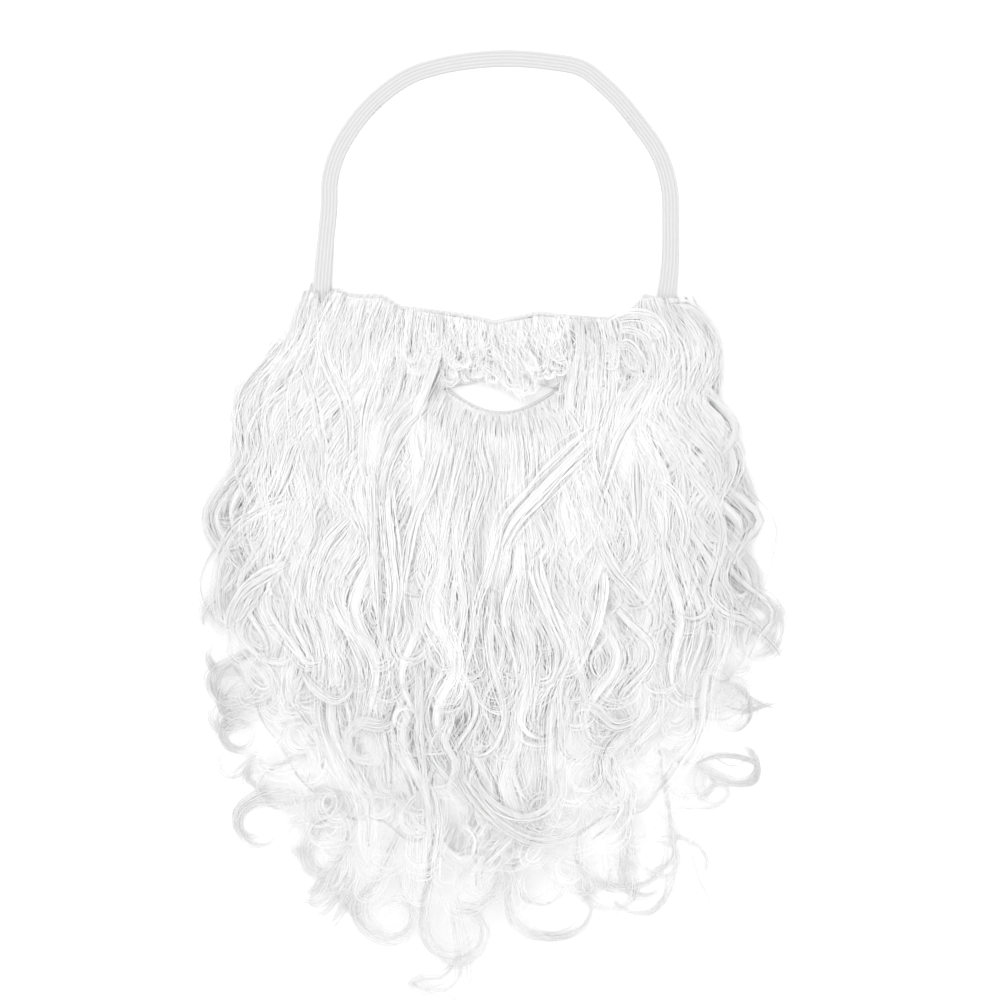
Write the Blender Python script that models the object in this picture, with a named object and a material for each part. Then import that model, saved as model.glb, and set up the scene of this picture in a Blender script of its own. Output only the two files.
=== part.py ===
"""Costume beard of curly white fibre, lying on its back as if on a table.

Every size below is in millimetres and is turned to metres where a mesh is made. X runs across the face,
+Y towards the strap, +Z up from the table. The origin is on the underside of the cloth, at the chin.
"""

import math

import bmesh
import bpy
import numpy as np
from mathutils import Vector

MM = 0.001
GAP = 0.35

# Cloth base: a flat sheet with a rolled hem along its top edge and round the mouth
CLOTH_THICKNESS = 1.2
CLOTH_DEPTH = 165.0
CLOTH_SIDE_FLARE = 3.0
HEM_DIAMETER = 3.0
HEM_STEPS = 26
HEM_SIDES = 8
MOUTH_HEM_DIAMETER = 2.2
TOP_EDGE_COLUMNS = ("across", "level")
TOP_EDGE = (
    (-101.0, 84.0),
    (-90.0, 85.0),
    (-83.0, 82.0),
    (-66.0, 81.5),
    (-55.0, 75.0),
    (-40.0, 73.5),
    (-13.0, 69.5),
    (-3.0, 67.0),
    (9.0, 69.5),
    (23.0, 72.0),
    (34.0, 70.5),
    (60.0, 68.5),
    (74.0, 74.0),
    (81.0, 82.0),
    (88.0, 80.0),
    (99.0, 80.0),
)

# The rolled hem runs between the strap ends
HEM_EDGE = TOP_EDGE[1:-2]

# Mouth opening: a lens with a deep lower lip and a shallow upper one
MOUTH_WIDTH = 61.0
MOUTH_CENTRE = 1.0
MOUTH_CORNER_LEVEL = 28.5
MOUTH_LOWER_SAG = 12.5
MOUTH_UPPER_RISE = 4.5
MOUTH_STEPS = 15

# Elastic strap, flat on the table in a wide arch, its ends sewn on the cloth's top corners
STRAP_WIDTH = 9.2
STRAP_THICKNESS = 1.0
STRAP_STEPS = 44
STRAP_COLUMNS = ("across", "level", "rise")
STRAP_ROUTE = (
    (-99.0, 74.0, CLOTH_THICKNESS + GAP),
    (-99.5, 84.0, CLOTH_THICKNESS + GAP),
    (-99.0, 92.0, 1.6),
    (-97.5, 112.0, 0.0),
    (-95.8, 130.0, 0.0),
    (-95.2, 146.0, 0.0),
    (-92.0, 158.0, 0.0),
    (-83.0, 174.5, 0.0),
    (-66.5, 193.0, 0.0),
    (-49.0, 204.5, 0.0),
    (-33.0, 209.5, 0.0),
    (-17.0, 212.3, 0.0),
    (4.0, 213.6, 0.0),
    (28.0, 211.8, 0.0),
    (46.0, 208.0, 0.0),
    (59.5, 197.5, 0.0),
    (77.0, 177.8, 0.0),
    (90.0, 158.0, 0.0),
    (94.5, 143.0, 0.0),
    (95.6, 120.0, 0.0),
    (95.2, 98.0, 0.6),
    (94.0, 86.5, CLOTH_THICKNESS + GAP),
    (92.0, 73.0, CLOTH_THICKNESS + GAP),
)

# Outline of the hair mass: how far it reaches left and right, and how thick it is, at each level
OUTLINE_COLUMNS = ("level", "left", "right", "height")
OUTLINE = (
    (90.0, -110.0, 105.0, 6.0),
    (53.0, -122.0, 121.0, 14.0),
    (20.0, -140.0, 122.0, 19.0),
    (-14.0, -149.0, 127.0, 24.0),
    (-48.0, -158.0, 134.0, 28.0),
    (-81.0, -162.0, 138.0, 31.0),
    (-115.0, -162.0, 146.0, 32.0),
    (-148.0, -155.0, 137.0, 31.0),
    (-182.0, -143.0, 121.0, 28.0),
    (-216.0, -118.0, 104.0, 23.0),
    (-249.0, -97.0, 54.0, 18.0),
    (-283.0, -64.0, 16.0, 13.0),
    (-306.0, -46.0, -12.0, 9.0),
)
# The mass thins to its roots around the mouth
MOUTH_DIP = 0.85
MOUTH_DIP_ACROSS = 62.0
MOUTH_DIP_ALONG = 30.0
MOUTH_DIP_LEVEL = 30.0

# Fill: the matted core of the mass, with a bay left open for the mouth and the hair over it
FILL_TOP = 80.0
FILL_BOTTOM = -236.0
FILL_STEPS = 11
FILL_SPREAD = 0.90
FILL_HEIGHT = 0.80
FILL_RIM = 2.0
FILL_SIDES = 10
BAY_WIDTH = 112.0
BAY_DEPTH = 116.0
BAY_CENTRE = (6.0, 68.0)

# Locks: flattened tubes that fall down the mass in waves and end in a curl
LOCK_FLATNESS = 0.62
LOCK_SIDES = 6
LOCK_STEP = 15.8
WAVE_LENGTH = 64.0
TIP_SHARE = 0.30
# share: place across the outline, -1 to 1; turn: degrees of the end curl, plus is anticlockwise
FALL_COLUMNS = ("share", "starts", "ends", "width", "wave", "phase", "radius", "turn", "ride")
FALLS = (
    (-0.95, 88.0, -104.0, 20.0, 8.0, 3.6, 15.0, 170.0, 0.80),
    (-0.83, 84.0, -134.0, 22.0, 8.0, 3.2, 13.0, -240.0, 0.95),
    (-0.69, 79.0, -174.0, 23.0, 7.0, 2.2, 12.0, -250.0, 0.90),
    (-0.56, 74.0, -222.0, 23.0, 7.0, 3.0, 12.0, 240.0, 1.00),
    (-0.42, 50.0, -152.0, 23.0, 7.0, 3.9, 12.0, -250.0, 1.05),
    (-0.28, 16.0, -240.0, 24.0, 6.0, 4.7, 12.0, 250.0, 0.96),
    (-0.14, 14.0, -176.0, 23.0, 6.0, 5.5, 11.0, -250.0, 1.05),
    (0.00, 13.0, -222.0, 23.0, 6.0, 0.0, 12.0, 250.0, 0.96),
    (0.14, 14.0, -150.0, 23.0, 6.0, 0.9, 12.0, 250.0, 1.05),
    (0.28, 16.0, -228.0, 23.0, 7.0, 1.6, 12.0, -240.0, 0.96),
    (0.43, 50.0, -160.0, 23.0, 7.0, 2.4, 12.0, 250.0, 1.05),
    (0.57, 70.0, -224.0, 23.0, 7.0, 3.2, 12.0, -240.0, 0.96),
    (0.70, 77.0, -134.0, 23.0, 7.0, 4.0, 12.0, 240.0, 1.03),
    (0.83, 79.0, -196.0, 22.0, 8.0, 4.8, 12.0, -230.0, 0.92),
    (0.95, 80.0, -112.0, 20.0, 7.0, 5.8, 14.0, 190.0, 0.82),
)

# Curls that leave the mass near its rim: a straight run from a start point, then a spiral
CURL_COLUMNS = ("across", "level", "heading", "run", "radius", "tip_radius", "turn", "width")
CURL_SIDES = 5
CURL_TURN_STEP = 36.0
CURLS = (
    (-132.0, 46.0, 232.0, 18.0, 22.0, 16.0, 110.0, 14.0),
    (-140.0, -22.0, 222.0, 16.0, 24.0, 16.0, 110.0, 14.0),
    (-140.0, -120.0, 205.0, 14.0, 12.0, 8.0, 290.0, 11.0),
    (-132.0, -146.0, 200.0, 18.0, 11.0, 8.0, 290.0, 10.0),
    (-104.0, -172.0, 208.0, 26.0, 12.0, 8.0, 250.0, 11.0),
    (-94.0, -198.0, 188.0, 42.0, 12.0, 11.0, 300.0, 6.0),
    (-96.0, -208.0, 240.0, 20.0, 12.0, 8.0, 230.0, 11.0),
    (-84.0, -222.0, 244.0, 34.0, 12.0, 8.0, -120.0, 11.0),
    (-60.0, -226.0, 244.0, 32.0, 16.0, 9.0, 320.0, 14.0),
    (-36.0, -224.0, 262.0, 44.0, 18.0, 9.0, 320.0, 16.0),
    (-24.0, -272.0, 278.0, 22.0, 14.0, 8.0, -240.0, 12.0),
    (-6.0, -214.0, 284.0, 24.0, 18.0, 14.0, -150.0, 8.0),
    (8.0, -222.0, 262.0, 28.0, 25.0, 20.0, 190.0, 6.0),
    (44.0, -218.0, 270.0, 26.0, 19.0, 15.0, 190.0, 9.0),
    (72.0, -206.0, 264.0, 36.0, 13.0, 10.0, 190.0, 7.0),
    (92.0, -192.0, 280.0, 36.0, 12.0, 9.0, -150.0, 7.0),
    (86.0, -172.0, -24.0, 48.0, 10.0, 11.0, 230.0, 6.0),
    (128.0, -86.0, -10.0, 14.0, 19.0, 12.0, -210.0, 12.0),
    (116.0, -132.0, -20.0, 16.0, 15.0, 10.0, -190.0, 11.0),
    (112.0, 4.0, -60.0, 26.0, 20.0, 14.0, -100.0, 13.0),
)

# Hair over the mouth: short locks that fall from the hem and part, with one tuft across the opening
OVER_LIP_COLUMNS = ("across", "level", "heading", "run", "bend", "width", "rise")
OVER_LIP = (
    (-48.0, 70.0, 256.0, 58.0, -4.0, 15.0, 6.5),
    (-37.0, 70.0, 258.0, 50.0, -10.0, 15.0, 7.5),
    (-25.0, 68.0, 264.0, 40.0, -20.0, 15.0, 8.0),
    (-13.0, 66.0, 268.0, 33.0, -14.0, 15.0, 8.0),
    (-5.0, 61.0, 300.0, 42.0, -8.0, 13.0, 9.5),
    (9.0, 66.0, 274.0, 33.0, 8.0, 15.0, 8.0),
    (21.0, 68.0, 276.0, 35.0, 14.0, 15.0, 8.0),
    (33.0, 67.0, 278.0, 42.0, 20.0, 15.0, 8.0),
    (45.0, 66.0, 279.0, 50.0, 14.0, 15.0, 7.5),
    (57.0, 66.0, 280.0, 58.0, 8.0, 15.0, 6.5),
)
OVER_LIP_PAD = (112.0, 38.0, 5.0)
OVER_LIP_PAD_CENTRE = (8.0, 48.5)


def rows(table, columns):
    """One dictionary per table row, keyed by the column names."""
    return [dict(zip(columns, row)) for row in table]


def outline_at(level):
    """Left edge, right edge and height of the mass at a level, on a smooth curve through the table."""
    levels = [row[0] for row in OUTLINE]
    level = min(max(level, levels[-1]), levels[0])
    index = next(i for i in range(len(levels) - 1) if level >= levels[i + 1])
    part = (levels[index] - level) / (levels[index] - levels[index + 1])
    ends = [OUTLINE[min(max(index + k, 0), len(OUTLINE) - 1)] for k in (-1, 0, 1, 2)]
    weights = (
        -0.5 * part + part ** 2 - 0.5 * part ** 3,
        1 - 2.5 * part ** 2 + 1.5 * part ** 3,
        0.5 * part + 2 * part ** 2 - 1.5 * part ** 3,
        -0.5 * part ** 2 + 0.5 * part ** 3,
    )
    return [sum(w * row[k] for w, row in zip(weights, ends)) for k in (1, 2, 3)]


def surface(across, level):
    """Height of the mass over the table."""
    left, right, height = outline_at(level)
    share = (2 * across - left - right) / (right - left)
    dome = max(1 - abs(share) ** 2.4, 0.0) ** 0.6
    reach = (across / MOUTH_DIP_ACROSS) ** 2 + ((level - MOUTH_DIP_LEVEL) / MOUTH_DIP_ALONG) ** 2
    return height * dome * (1 - MOUTH_DIP * math.exp(-reach))


def resting(path, widths, ride):
    """Lay a flat path on the mass, or on the table where it has left the mass."""
    return [
        (x, y, max(surface(x, y) * ride, 0.5 * LOCK_FLATNESS * width + 0.2))
        for (x, y), width in zip(path, widths)
    ]


def spiral(start, heading, radius, tip_radius, turn, step):
    """Points of an arc that tightens from one radius to another."""
    x, y = start
    count = max(int(round(abs(turn) / step)), 2)
    bend = math.radians(turn) / count
    points = []
    for index in range(count):
        size = radius + (tip_radius - radius) * index / (count - 1)
        heading += bend
        x += size * abs(bend) * math.cos(heading - 0.5 * bend)
        y += size * abs(bend) * math.sin(heading - 0.5 * bend)
        points.append((x, y))
    return points


def taper(count, width):
    """Width at each point: full along the lock, narrowing to its tip, and a little at its root."""
    widths = []
    for index in range(count):
        along = index / (count - 1)
        root = min(0.7 + 2.4 * along, 1.0)
        widths.append(width * root * (1 - (1 - TIP_SHARE) * along ** 2.2))
    return widths


def fall_path(row):
    """A lock that follows the outline downwards with sideways waves, then curls."""
    count = int((row["starts"] - row["ends"]) / LOCK_STEP) + 1
    path = []
    for level in np.linspace(row["starts"], row["ends"], count):
        left, right, _ = outline_at(level)
        fallen = row["starts"] - level
        sway = row["wave"] * min(fallen / 60.0, 1.0)
        across = 0.5 * (left + right) + 0.5 * row["share"] * (right - left)
        angle = 2 * math.pi * fallen / WAVE_LENGTH + row["phase"]
        path.append((across + sway * math.sin(angle), float(level)))
    heading = math.atan2(path[-1][1] - path[-2][1], path[-1][0] - path[-2][0])
    path += spiral(
        path[-1], heading, row["radius"], 0.62 * row["radius"], row["turn"], 30.0
    )
    widths = taper(len(path), row["width"])
    return resting(path, widths, row["ride"]), widths


def curl_path(row):
    """A straight run and a spiral from a point near the rim."""
    heading = math.radians(row["heading"])
    direction = Vector((math.cos(heading), math.sin(heading)))
    start = Vector((row["across"], row["level"]))
    path = [tuple(start + direction * row["run"] * part) for part in (0.0, 0.5, 1.0)]
    path += spiral(
        path[-1], heading, row["radius"], row["tip_radius"], row["turn"], CURL_TURN_STEP
    )
    widths = taper(len(path), row["width"])
    return resting(path, widths, 0.85), widths


def over_lip_path(row):
    """A short bent lock over the cloth, low at its root and tip."""
    heading = math.radians(row["heading"])
    bend = math.radians(row["bend"])
    steps = 5
    x, y = row["across"], row["level"]
    path = []
    for index in range(steps + 1):
        along = index / steps
        lift = row["rise"] * (0.62 + 0.38 * math.sin(math.pi * along))
        path.append((x, y, lift))
        turned = heading + bend * along
        x += row["run"] / steps * math.cos(turned)
        y += row["run"] / steps * math.sin(turned)
    return path, taper(len(path), row["width"])


def collection(name):
    made = bpy.data.collections.new(name)
    bpy.context.scene.collection.children.link(made)
    return made


def add(name, mesh, group=None):
    """Put a mesh in the scene as a named object."""
    made = bpy.data.objects.new(name, mesh)
    (group or bpy.context.scene.collection).objects.link(made)
    return made


def set_aside(thing):
    """Mark a cutter or helper so that it is no part of the result."""
    thing.hide_render = True
    thing.display_type = "WIRE"
    return thing


def evaluated(thing):
    """Mesh of an object with its modifiers applied."""
    bpy.context.view_layer.update()
    graph = bpy.context.evaluated_depsgraph_get()
    return bpy.data.meshes.new_from_object(thing.evaluated_get(graph))


def profile(name, points):
    """Closed section in millimetres per unit of lock width."""
    data = bpy.data.curves.new(name, "CURVE")
    data.dimensions = "2D"
    spline = data.splines.new("POLY")
    spline.points.add(len(points) - 1)
    for point, (x, y) in zip(spline.points, points):
        point.co = (x, y, 0.0, 1.0)
    spline.use_cyclic_u = True
    return set_aside(add(name, data))


def ellipse(name, sides, flatness):
    """Oval section, one unit wide."""
    turns = [2 * math.pi * (k + 0.5) / sides for k in range(sides)]
    return profile(name, [(0.5 * math.cos(a), 0.5 * flatness * math.sin(a)) for a in turns])


def swept(name, path, widths, section, group=None):
    """Solid made by carrying a section along a path of millimetre points."""
    data = bpy.data.curves.new(name + "_path", "CURVE")
    data.dimensions = "3D"
    data.twist_mode = "Z_UP"
    data.bevel_mode = "OBJECT"
    data.bevel_object = section
    data.use_fill_caps = True
    spline = data.splines.new("POLY")
    spline.points.add(len(path) - 1)
    for point, place, width in zip(spline.points, path, widths):
        point.co = (*(MM * value for value in place), 1.0)
        point.radius = MM * width
    guide = add(name + "_guide", data)
    mesh = evaluated(guide)
    bpy.data.objects.remove(guide)
    work = bmesh.new()
    work.from_mesh(mesh)
    bmesh.ops.remove_doubles(work, verts=work.verts, dist=1e-6)
    bmesh.ops.recalc_face_normals(work, faces=work.faces)
    work.to_mesh(mesh)
    work.free()
    return add(name, mesh, group)


def prism(name, outline, low, high, group=None):
    """Upright solid over a millimetre outline."""
    work = bmesh.new()
    ring = [work.verts.new((MM * x, MM * y, MM * low)) for x, y in outline]
    base = work.faces.new(ring)
    top = bmesh.ops.extrude_face_region(work, geom=[base])["geom"]
    lift = Vector((0.0, 0.0, MM * (high - low)))
    bmesh.ops.translate(
        work, verts=[g for g in top if isinstance(g, bmesh.types.BMVert)], vec=lift
    )
    bmesh.ops.recalc_face_normals(work, faces=work.faces)
    mesh = bpy.data.meshes.new(name)
    work.to_mesh(mesh)
    work.free()
    return add(name, mesh, group)


def combine(thing, operation, other=None, group=None, overlapping=False):
    """Boolean with one object or with a whole collection, applied at once."""
    step = thing.modifiers.new(operation.lower(), "BOOLEAN")
    step.operation = operation
    step.solver = "EXACT"
    step.use_self = overlapping
    if group is None:
        step.object = other
    else:
        step.operand_type = "COLLECTION"
        step.collection = group
    mesh = evaluated(thing)
    thing.modifiers.clear()
    thing.data = mesh


def keep_outer_body(thing):
    """Keep the largest piece of a solid and drop chips and sealed pockets."""
    work = bmesh.new()
    work.from_mesh(thing.data)
    work.verts.ensure_lookup_table()
    left = set(work.verts)
    groups = []
    while left:
        found = {left.pop()}
        edge = list(found)
        while edge:
            near = {e.other_vert(v) for v in edge for e in v.link_edges} - found
            found |= near
            edge = list(near)
        left -= found
        groups.append(found)

    def spread(group):
        corners = [Vector(f(v.co[k] for v in group) for k in range(3)) for f in (min, max)]
        return (corners[1] - corners[0]).length

    groups.sort(key=spread)
    bmesh.ops.delete(work, geom=[v for group in groups[:-1] for v in group], context="VERTS")
    bmesh.ops.recalc_face_normals(work, faces=work.faces)
    work.to_mesh(thing.data)
    work.free()


def clear_helpers(group):
    for thing in list(group.objects):
        bpy.data.objects.remove(thing)
    bpy.data.collections.remove(group)


def material(name, colour, roughness):
    made = bpy.data.materials.new(name)
    made.use_nodes = True
    shader = made.node_tree.nodes["Principled BSDF"]
    shader.inputs["Base Color"].default_value = (*colour, 1.0)
    shader.inputs["Roughness"].default_value = roughness
    return made


def finish(thing, look, smooth):
    """Give a finished object its material and shading."""
    thing.data.materials.clear()
    thing.data.materials.append(look)
    thing.data.shade_smooth() if smooth else thing.data.shade_flat()


def cloth_outline(extra=0.0):
    """Top edge from the table, closed below by half an oval."""
    points = [(x, y + extra) for x, y in TOP_EDGE]
    points[0] = (points[0][0] - extra, points[0][1])
    points[-1] = (points[-1][0] + extra, points[-1][1])
    low = TOP_EDGE[0][1] - 14.0
    half = 0.5 * (TOP_EDGE[-1][0] - TOP_EDGE[0][0]) + CLOTH_SIDE_FLARE
    middle = 0.5 * (TOP_EDGE[-1][0] + TOP_EDGE[0][0])
    for turn in np.linspace(0.0, -math.pi, 25):
        points.append((
            middle + (half + extra) * math.cos(turn),
            low + (CLOTH_DEPTH + extra) * math.sin(turn),
        ))
    return points[::-1]


def mouth_outline(extra=0.0):
    """Lens between two sine bows; it leaves the corners pointed."""
    reach = 0.5 * MOUTH_WIDTH + extra
    lower, upper = [], []
    for part in np.linspace(-1.0, 1.0, MOUTH_STEPS):
        bow = math.cos(0.5 * math.pi * part)
        x = MOUTH_CENTRE + reach * part
        lower.append((x, MOUTH_CORNER_LEVEL - (MOUTH_LOWER_SAG + extra) * bow))
        upper.append((x, MOUTH_CORNER_LEVEL + (MOUTH_UPPER_RISE + extra) * bow))
    return lower + upper[-2:0:-1]


def smooth_route(points, count):
    """Even points on a smooth curve through a table of places."""
    places = np.array(points, dtype=float)
    steps = np.linalg.norm(np.diff(places[:, :2], axis=0), axis=1)
    along = np.concatenate(([0.0], np.cumsum(steps)))
    slopes = np.gradient(places, along, axis=0)
    result = []
    for spot in np.linspace(0.0, along[-1], count):
        i = min(int(np.searchsorted(along, spot, side="right")) - 1, len(along) - 2)
        gap = along[i + 1] - along[i]
        t = (spot - along[i]) / gap
        result.append(
            (2 * t ** 3 - 3 * t ** 2 + 1) * places[i]
            + (t ** 3 - 2 * t ** 2 + t) * gap * slopes[i]
            + (3 * t ** 2 - 2 * t ** 3) * places[i + 1]
            + (t ** 3 - t ** 2) * gap * slopes[i + 1]
        )
    return [tuple(float(v) for v in row) for row in result]


def strap_solid(name, extra=0.0, group=None):
    """Flat band along its route; the route gives the height of its underside."""
    half, lift = 0.5 * STRAP_WIDTH + extra, STRAP_THICKNESS + extra
    section = profile(name + "_section", [(-half, -extra), (half, -extra), (half, lift), (-half, lift)])
    route = [(x, y, max(z, 0.0)) for x, y, z in smooth_route(STRAP_ROUTE, STRAP_STEPS)]
    made = swept(name, route, [1.0] * len(route), section, group)
    bpy.data.objects.remove(section)
    return made


def add_hems(group, extra):
    """Rolled hems along the top edge and the lower lip."""
    section = ellipse("hem_section", HEM_SIDES, 1.0)
    top = [(x, y - 0.5 * HEM_DIAMETER, 0.5 * HEM_DIAMETER) for x, y in HEM_EDGE]
    widths = [HEM_DIAMETER + 2 * extra] * HEM_STEPS
    swept("top_hem", smooth_route(top, HEM_STEPS), widths, section, group)
    lip = mouth_outline(0.5 * MOUTH_HEM_DIAMETER)[:MOUTH_STEPS]
    path = [(x, y, 0.5 * MOUTH_HEM_DIAMETER) for x, y in lip]
    swept("mouth_hem", path, [MOUTH_HEM_DIAMETER + 2 * extra] * MOUTH_STEPS, section, group)
    bpy.data.objects.remove(section)


def add_cloth_spaces(group, reach):
    """Room that hair leaves round the cloth, its hems and the air above its top edge."""
    prism("cloth_room", cloth_outline(reach), -20.0, CLOTH_THICKNESS + GAP, group)
    add_hems(group, 1.2 * GAP)
    above_hem = [(x, y + 40.0) for x, y in HEM_EDGE][::-1]
    prism("above_hem", [(x, y - HEM_DIAMETER) for x, y in HEM_EDGE] + above_hem, -5.0, 40.0, group)


def build_backing(look):
    """Cloth sheet with the mouth cut through it and a rolled hem along both edges."""
    cloth = prism("backing", cloth_outline(), 0.0, CLOTH_THICKNESS)
    parts = collection("hems")
    add_hems(parts, 0.0)
    combine(cloth, "UNION", group=parts)
    cutter = prism("mouth_cut", mouth_outline(), -5.0, 10.0)
    combine(cloth, "DIFFERENCE", cutter, overlapping=True)
    bpy.data.objects.remove(cutter)
    clear_helpers(parts)
    keep_outer_body(cloth)
    finish(cloth, look, False)
    return cloth


def build_fill():
    """Lofted core of the mass with the bay round the mouth cut out."""
    work = bmesh.new()
    rings = []
    levels = np.linspace(FILL_TOP, FILL_BOTTOM, FILL_STEPS)
    for level in levels:
        left, right, _ = outline_at(level)
        spread = FILL_SPREAD * (0.72 if level == levels[-1] else 1.0)
        middle, half = 0.5 * (left + right), 0.5 * spread * (right - left)
        ring = []
        for turn in np.linspace(math.pi, 0.0, FILL_SIDES):
            x = middle + half * math.cos(turn)
            z = FILL_RIM + FILL_HEIGHT * surface(x, float(level)) * math.sin(turn) ** 0.3
            ring.append((x, z))
        ring += [(middle + half, 0.0), (middle - half, 0.0)]
        rings.append([work.verts.new((MM * x, MM * level, MM * z)) for x, z in ring])
    for upper, lower in zip(rings, rings[1:]):
        for k in range(len(upper)):
            n = (k + 1) % len(upper)
            work.faces.new((upper[k], upper[n], lower[n], lower[k]))
    work.faces.new(rings[0])
    work.faces.new(rings[-1][::-1])
    bmesh.ops.triangulate(work, faces=work.faces)
    bmesh.ops.recalc_face_normals(work, faces=work.faces)
    mesh = bpy.data.meshes.new("beard_hair")
    work.to_mesh(mesh)
    work.free()
    fill = add("beard_hair", mesh)
    bay = [
        (
            BAY_CENTRE[0] + 0.5 * BAY_WIDTH * math.cos(turn),
            BAY_CENTRE[1] + 0.5 * BAY_DEPTH * math.sin(turn),
        )
        for turn in np.linspace(0.0, 2 * math.pi, 25)[:-1]
    ]
    cutter = prism("bay", bay, -5.0, 60.0)
    combine(fill, "DIFFERENCE", cutter)
    bpy.data.objects.remove(cutter)
    return fill


def over_lip_solid(name, extra=0.0, group=None):
    """Short locks over the mouth, joined to one pad and lying just over the cloth."""
    pad_x, pad_y, pad_z = OVER_LIP_PAD
    base = CLOTH_THICKNESS + GAP
    x, y = OVER_LIP_PAD_CENTRE
    outline = [
        (x + (0.5 * pad_x + extra) * math.cos(a), y + (0.5 * pad_y + extra) * math.sin(a))
        for a in np.linspace(0.0, 2 * math.pi, 29)[:-1]
    ]
    made = prism(name, outline, base - extra, base + pad_z + extra, group)
    parts = collection(name + "_locks")
    section = ellipse(name + "_section", LOCK_SIDES, LOCK_FLATNESS)
    for index, row in enumerate(rows(OVER_LIP, OVER_LIP_COLUMNS)):
        path, widths = over_lip_path(row)
        swept(f"{name}_{index}", path, [w + 2 * extra for w in widths], section, parts)
    combine(made, "UNION", group=parts, overlapping=True)
    bpy.data.objects.remove(section)
    clear_helpers(parts)
    if not extra:
        spaces = collection("over_lip_spaces")
        add_cloth_spaces(spaces, 4.0)
        combine(made, "DIFFERENCE", group=spaces, overlapping=True)
        clear_helpers(spaces)
    keep_outer_body(made)
    return made


def build_hair(look):
    """Core, falling locks and rim curls fused to one body, cleared round its neighbours."""
    hair = build_fill()
    parts = collection("locks")
    wide = ellipse("lock_section", LOCK_SIDES, LOCK_FLATNESS)
    narrow = ellipse("curl_section", CURL_SIDES, LOCK_FLATNESS)
    for index, row in enumerate(rows(FALLS, FALL_COLUMNS)):
        path, widths = fall_path(row)
        swept(f"fall_{index}", path, widths, wide, parts)
    for index, row in enumerate(rows(CURLS, CURL_COLUMNS)):
        path, widths = curl_path(row)
        swept(f"curl_{index}", path, widths, narrow, parts)
    combine(hair, "UNION", group=parts, overlapping=True)
    clear_helpers(parts)

    spaces = collection("spaces")
    add_cloth_spaces(spaces, GAP)
    prism("mouth_room", mouth_outline(MOUTH_HEM_DIAMETER + 2.0), -5.0, 60.0, spaces)
    strap_solid("strap_room", GAP, spaces)
    over_lip_solid("over_lip_room", GAP, spaces)
    combine(hair, "DIFFERENCE", group=spaces, overlapping=True)
    clear_helpers(spaces)
    for section in (wide, narrow):
        bpy.data.objects.remove(section)
    keep_outer_body(hair)
    finish(hair, look, True)
    return hair


def main():
    for thing in list(bpy.data.objects):
        bpy.data.objects.remove(thing)
    hair_look = material("white_hair", (0.90, 0.90, 0.90), 0.55)
    cloth_look = material("backing_cloth", (0.80, 0.80, 0.79), 0.90)
    elastic_look = material("white_elastic", (0.78, 0.78, 0.78), 0.80)
    build_backing(cloth_look)
    build_hair(hair_look)
    over_lip = over_lip_solid("over_lip_hair")
    finish(over_lip, hair_look, True)
    strap = strap_solid("strap")
    keep_outer_body(strap)
    finish(strap, elastic_look, False)


main()
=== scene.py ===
"""Looks of a curly white costume beard that lies on its back on a table.

Lengths in the tables are millimetres; meshes are made in metres. X runs across the face, +Y towards the
strap, +Z up from the table.
"""

import math

import bmesh
import bpy
import numpy as np
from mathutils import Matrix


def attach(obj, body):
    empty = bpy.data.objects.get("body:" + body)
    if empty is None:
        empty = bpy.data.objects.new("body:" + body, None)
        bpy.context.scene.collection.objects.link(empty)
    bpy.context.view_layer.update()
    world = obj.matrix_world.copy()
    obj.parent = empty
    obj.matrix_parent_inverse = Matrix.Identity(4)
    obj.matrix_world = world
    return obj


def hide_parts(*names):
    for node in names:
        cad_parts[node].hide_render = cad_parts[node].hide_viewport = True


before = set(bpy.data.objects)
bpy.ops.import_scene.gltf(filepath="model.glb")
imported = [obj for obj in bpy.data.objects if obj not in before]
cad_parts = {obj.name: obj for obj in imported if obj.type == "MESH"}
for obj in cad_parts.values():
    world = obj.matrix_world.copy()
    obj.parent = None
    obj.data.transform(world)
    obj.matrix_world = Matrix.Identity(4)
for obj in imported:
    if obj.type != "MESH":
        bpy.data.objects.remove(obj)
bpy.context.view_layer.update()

MM = 0.001
SEED = 20
TONE_MAP = "OFBake"
# Strips of the tone map, one tone each, for strands
TONE_STRIPS = 64

# Camera: straight above, so that the picture is 560 mm wide at the table
LENS = 100.0
SENSOR = 36.0
PICTURE_WIDTH = 560.0
PICTURE_CENTRE = (0.0, -33.6)
# Traced places are counted over this picture from its left and top edges, 1000 steps each way
VIEW_STEP = 0.56
VIEW_ZERO = (500.0, 440.0)

# Cloth base
CLOTH_THICKNESS = 1.2
CLOTH_DEPTH = 165.0
CLOTH_SIDE_FLARE = 3.0
HEM_DIAMETER = 3.0
MOUTH_HEM_DIAMETER = 2.2
# From stitch to stitch
HEM_PITCH = 3.4
MOUTH_HEM_PITCH = 2.6
TOP_EDGE = (
    (-101.0, 84.0),
    (-90.0, 85.0),
    (-83.0, 82.0),
    (-66.0, 81.5),
    (-55.0, 75.0),
    (-40.0, 73.5),
    (-13.0, 69.5),
    (-3.0, 67.0),
    (9.0, 69.5),
    (23.0, 72.0),
    (34.0, 70.5),
    (60.0, 68.5),
    (74.0, 74.0),
    (81.0, 82.0),
    (88.0, 80.0),
    (99.0, 80.0),
)
HEM_EDGE = TOP_EDGE[1:-2]
MOUTH_WIDTH = 61.0
MOUTH_CENTRE = 1.0
MOUTH_CORNER_LEVEL = 28.5
MOUTH_LOWER_SAG = 12.5
MOUTH_UPPER_RISE = 4.5

# Elastic strap
STRAP_WIDTH = 9.2
STRAP_THICKNESS = 1.0
STRAP_RIBS = 5.0
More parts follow.
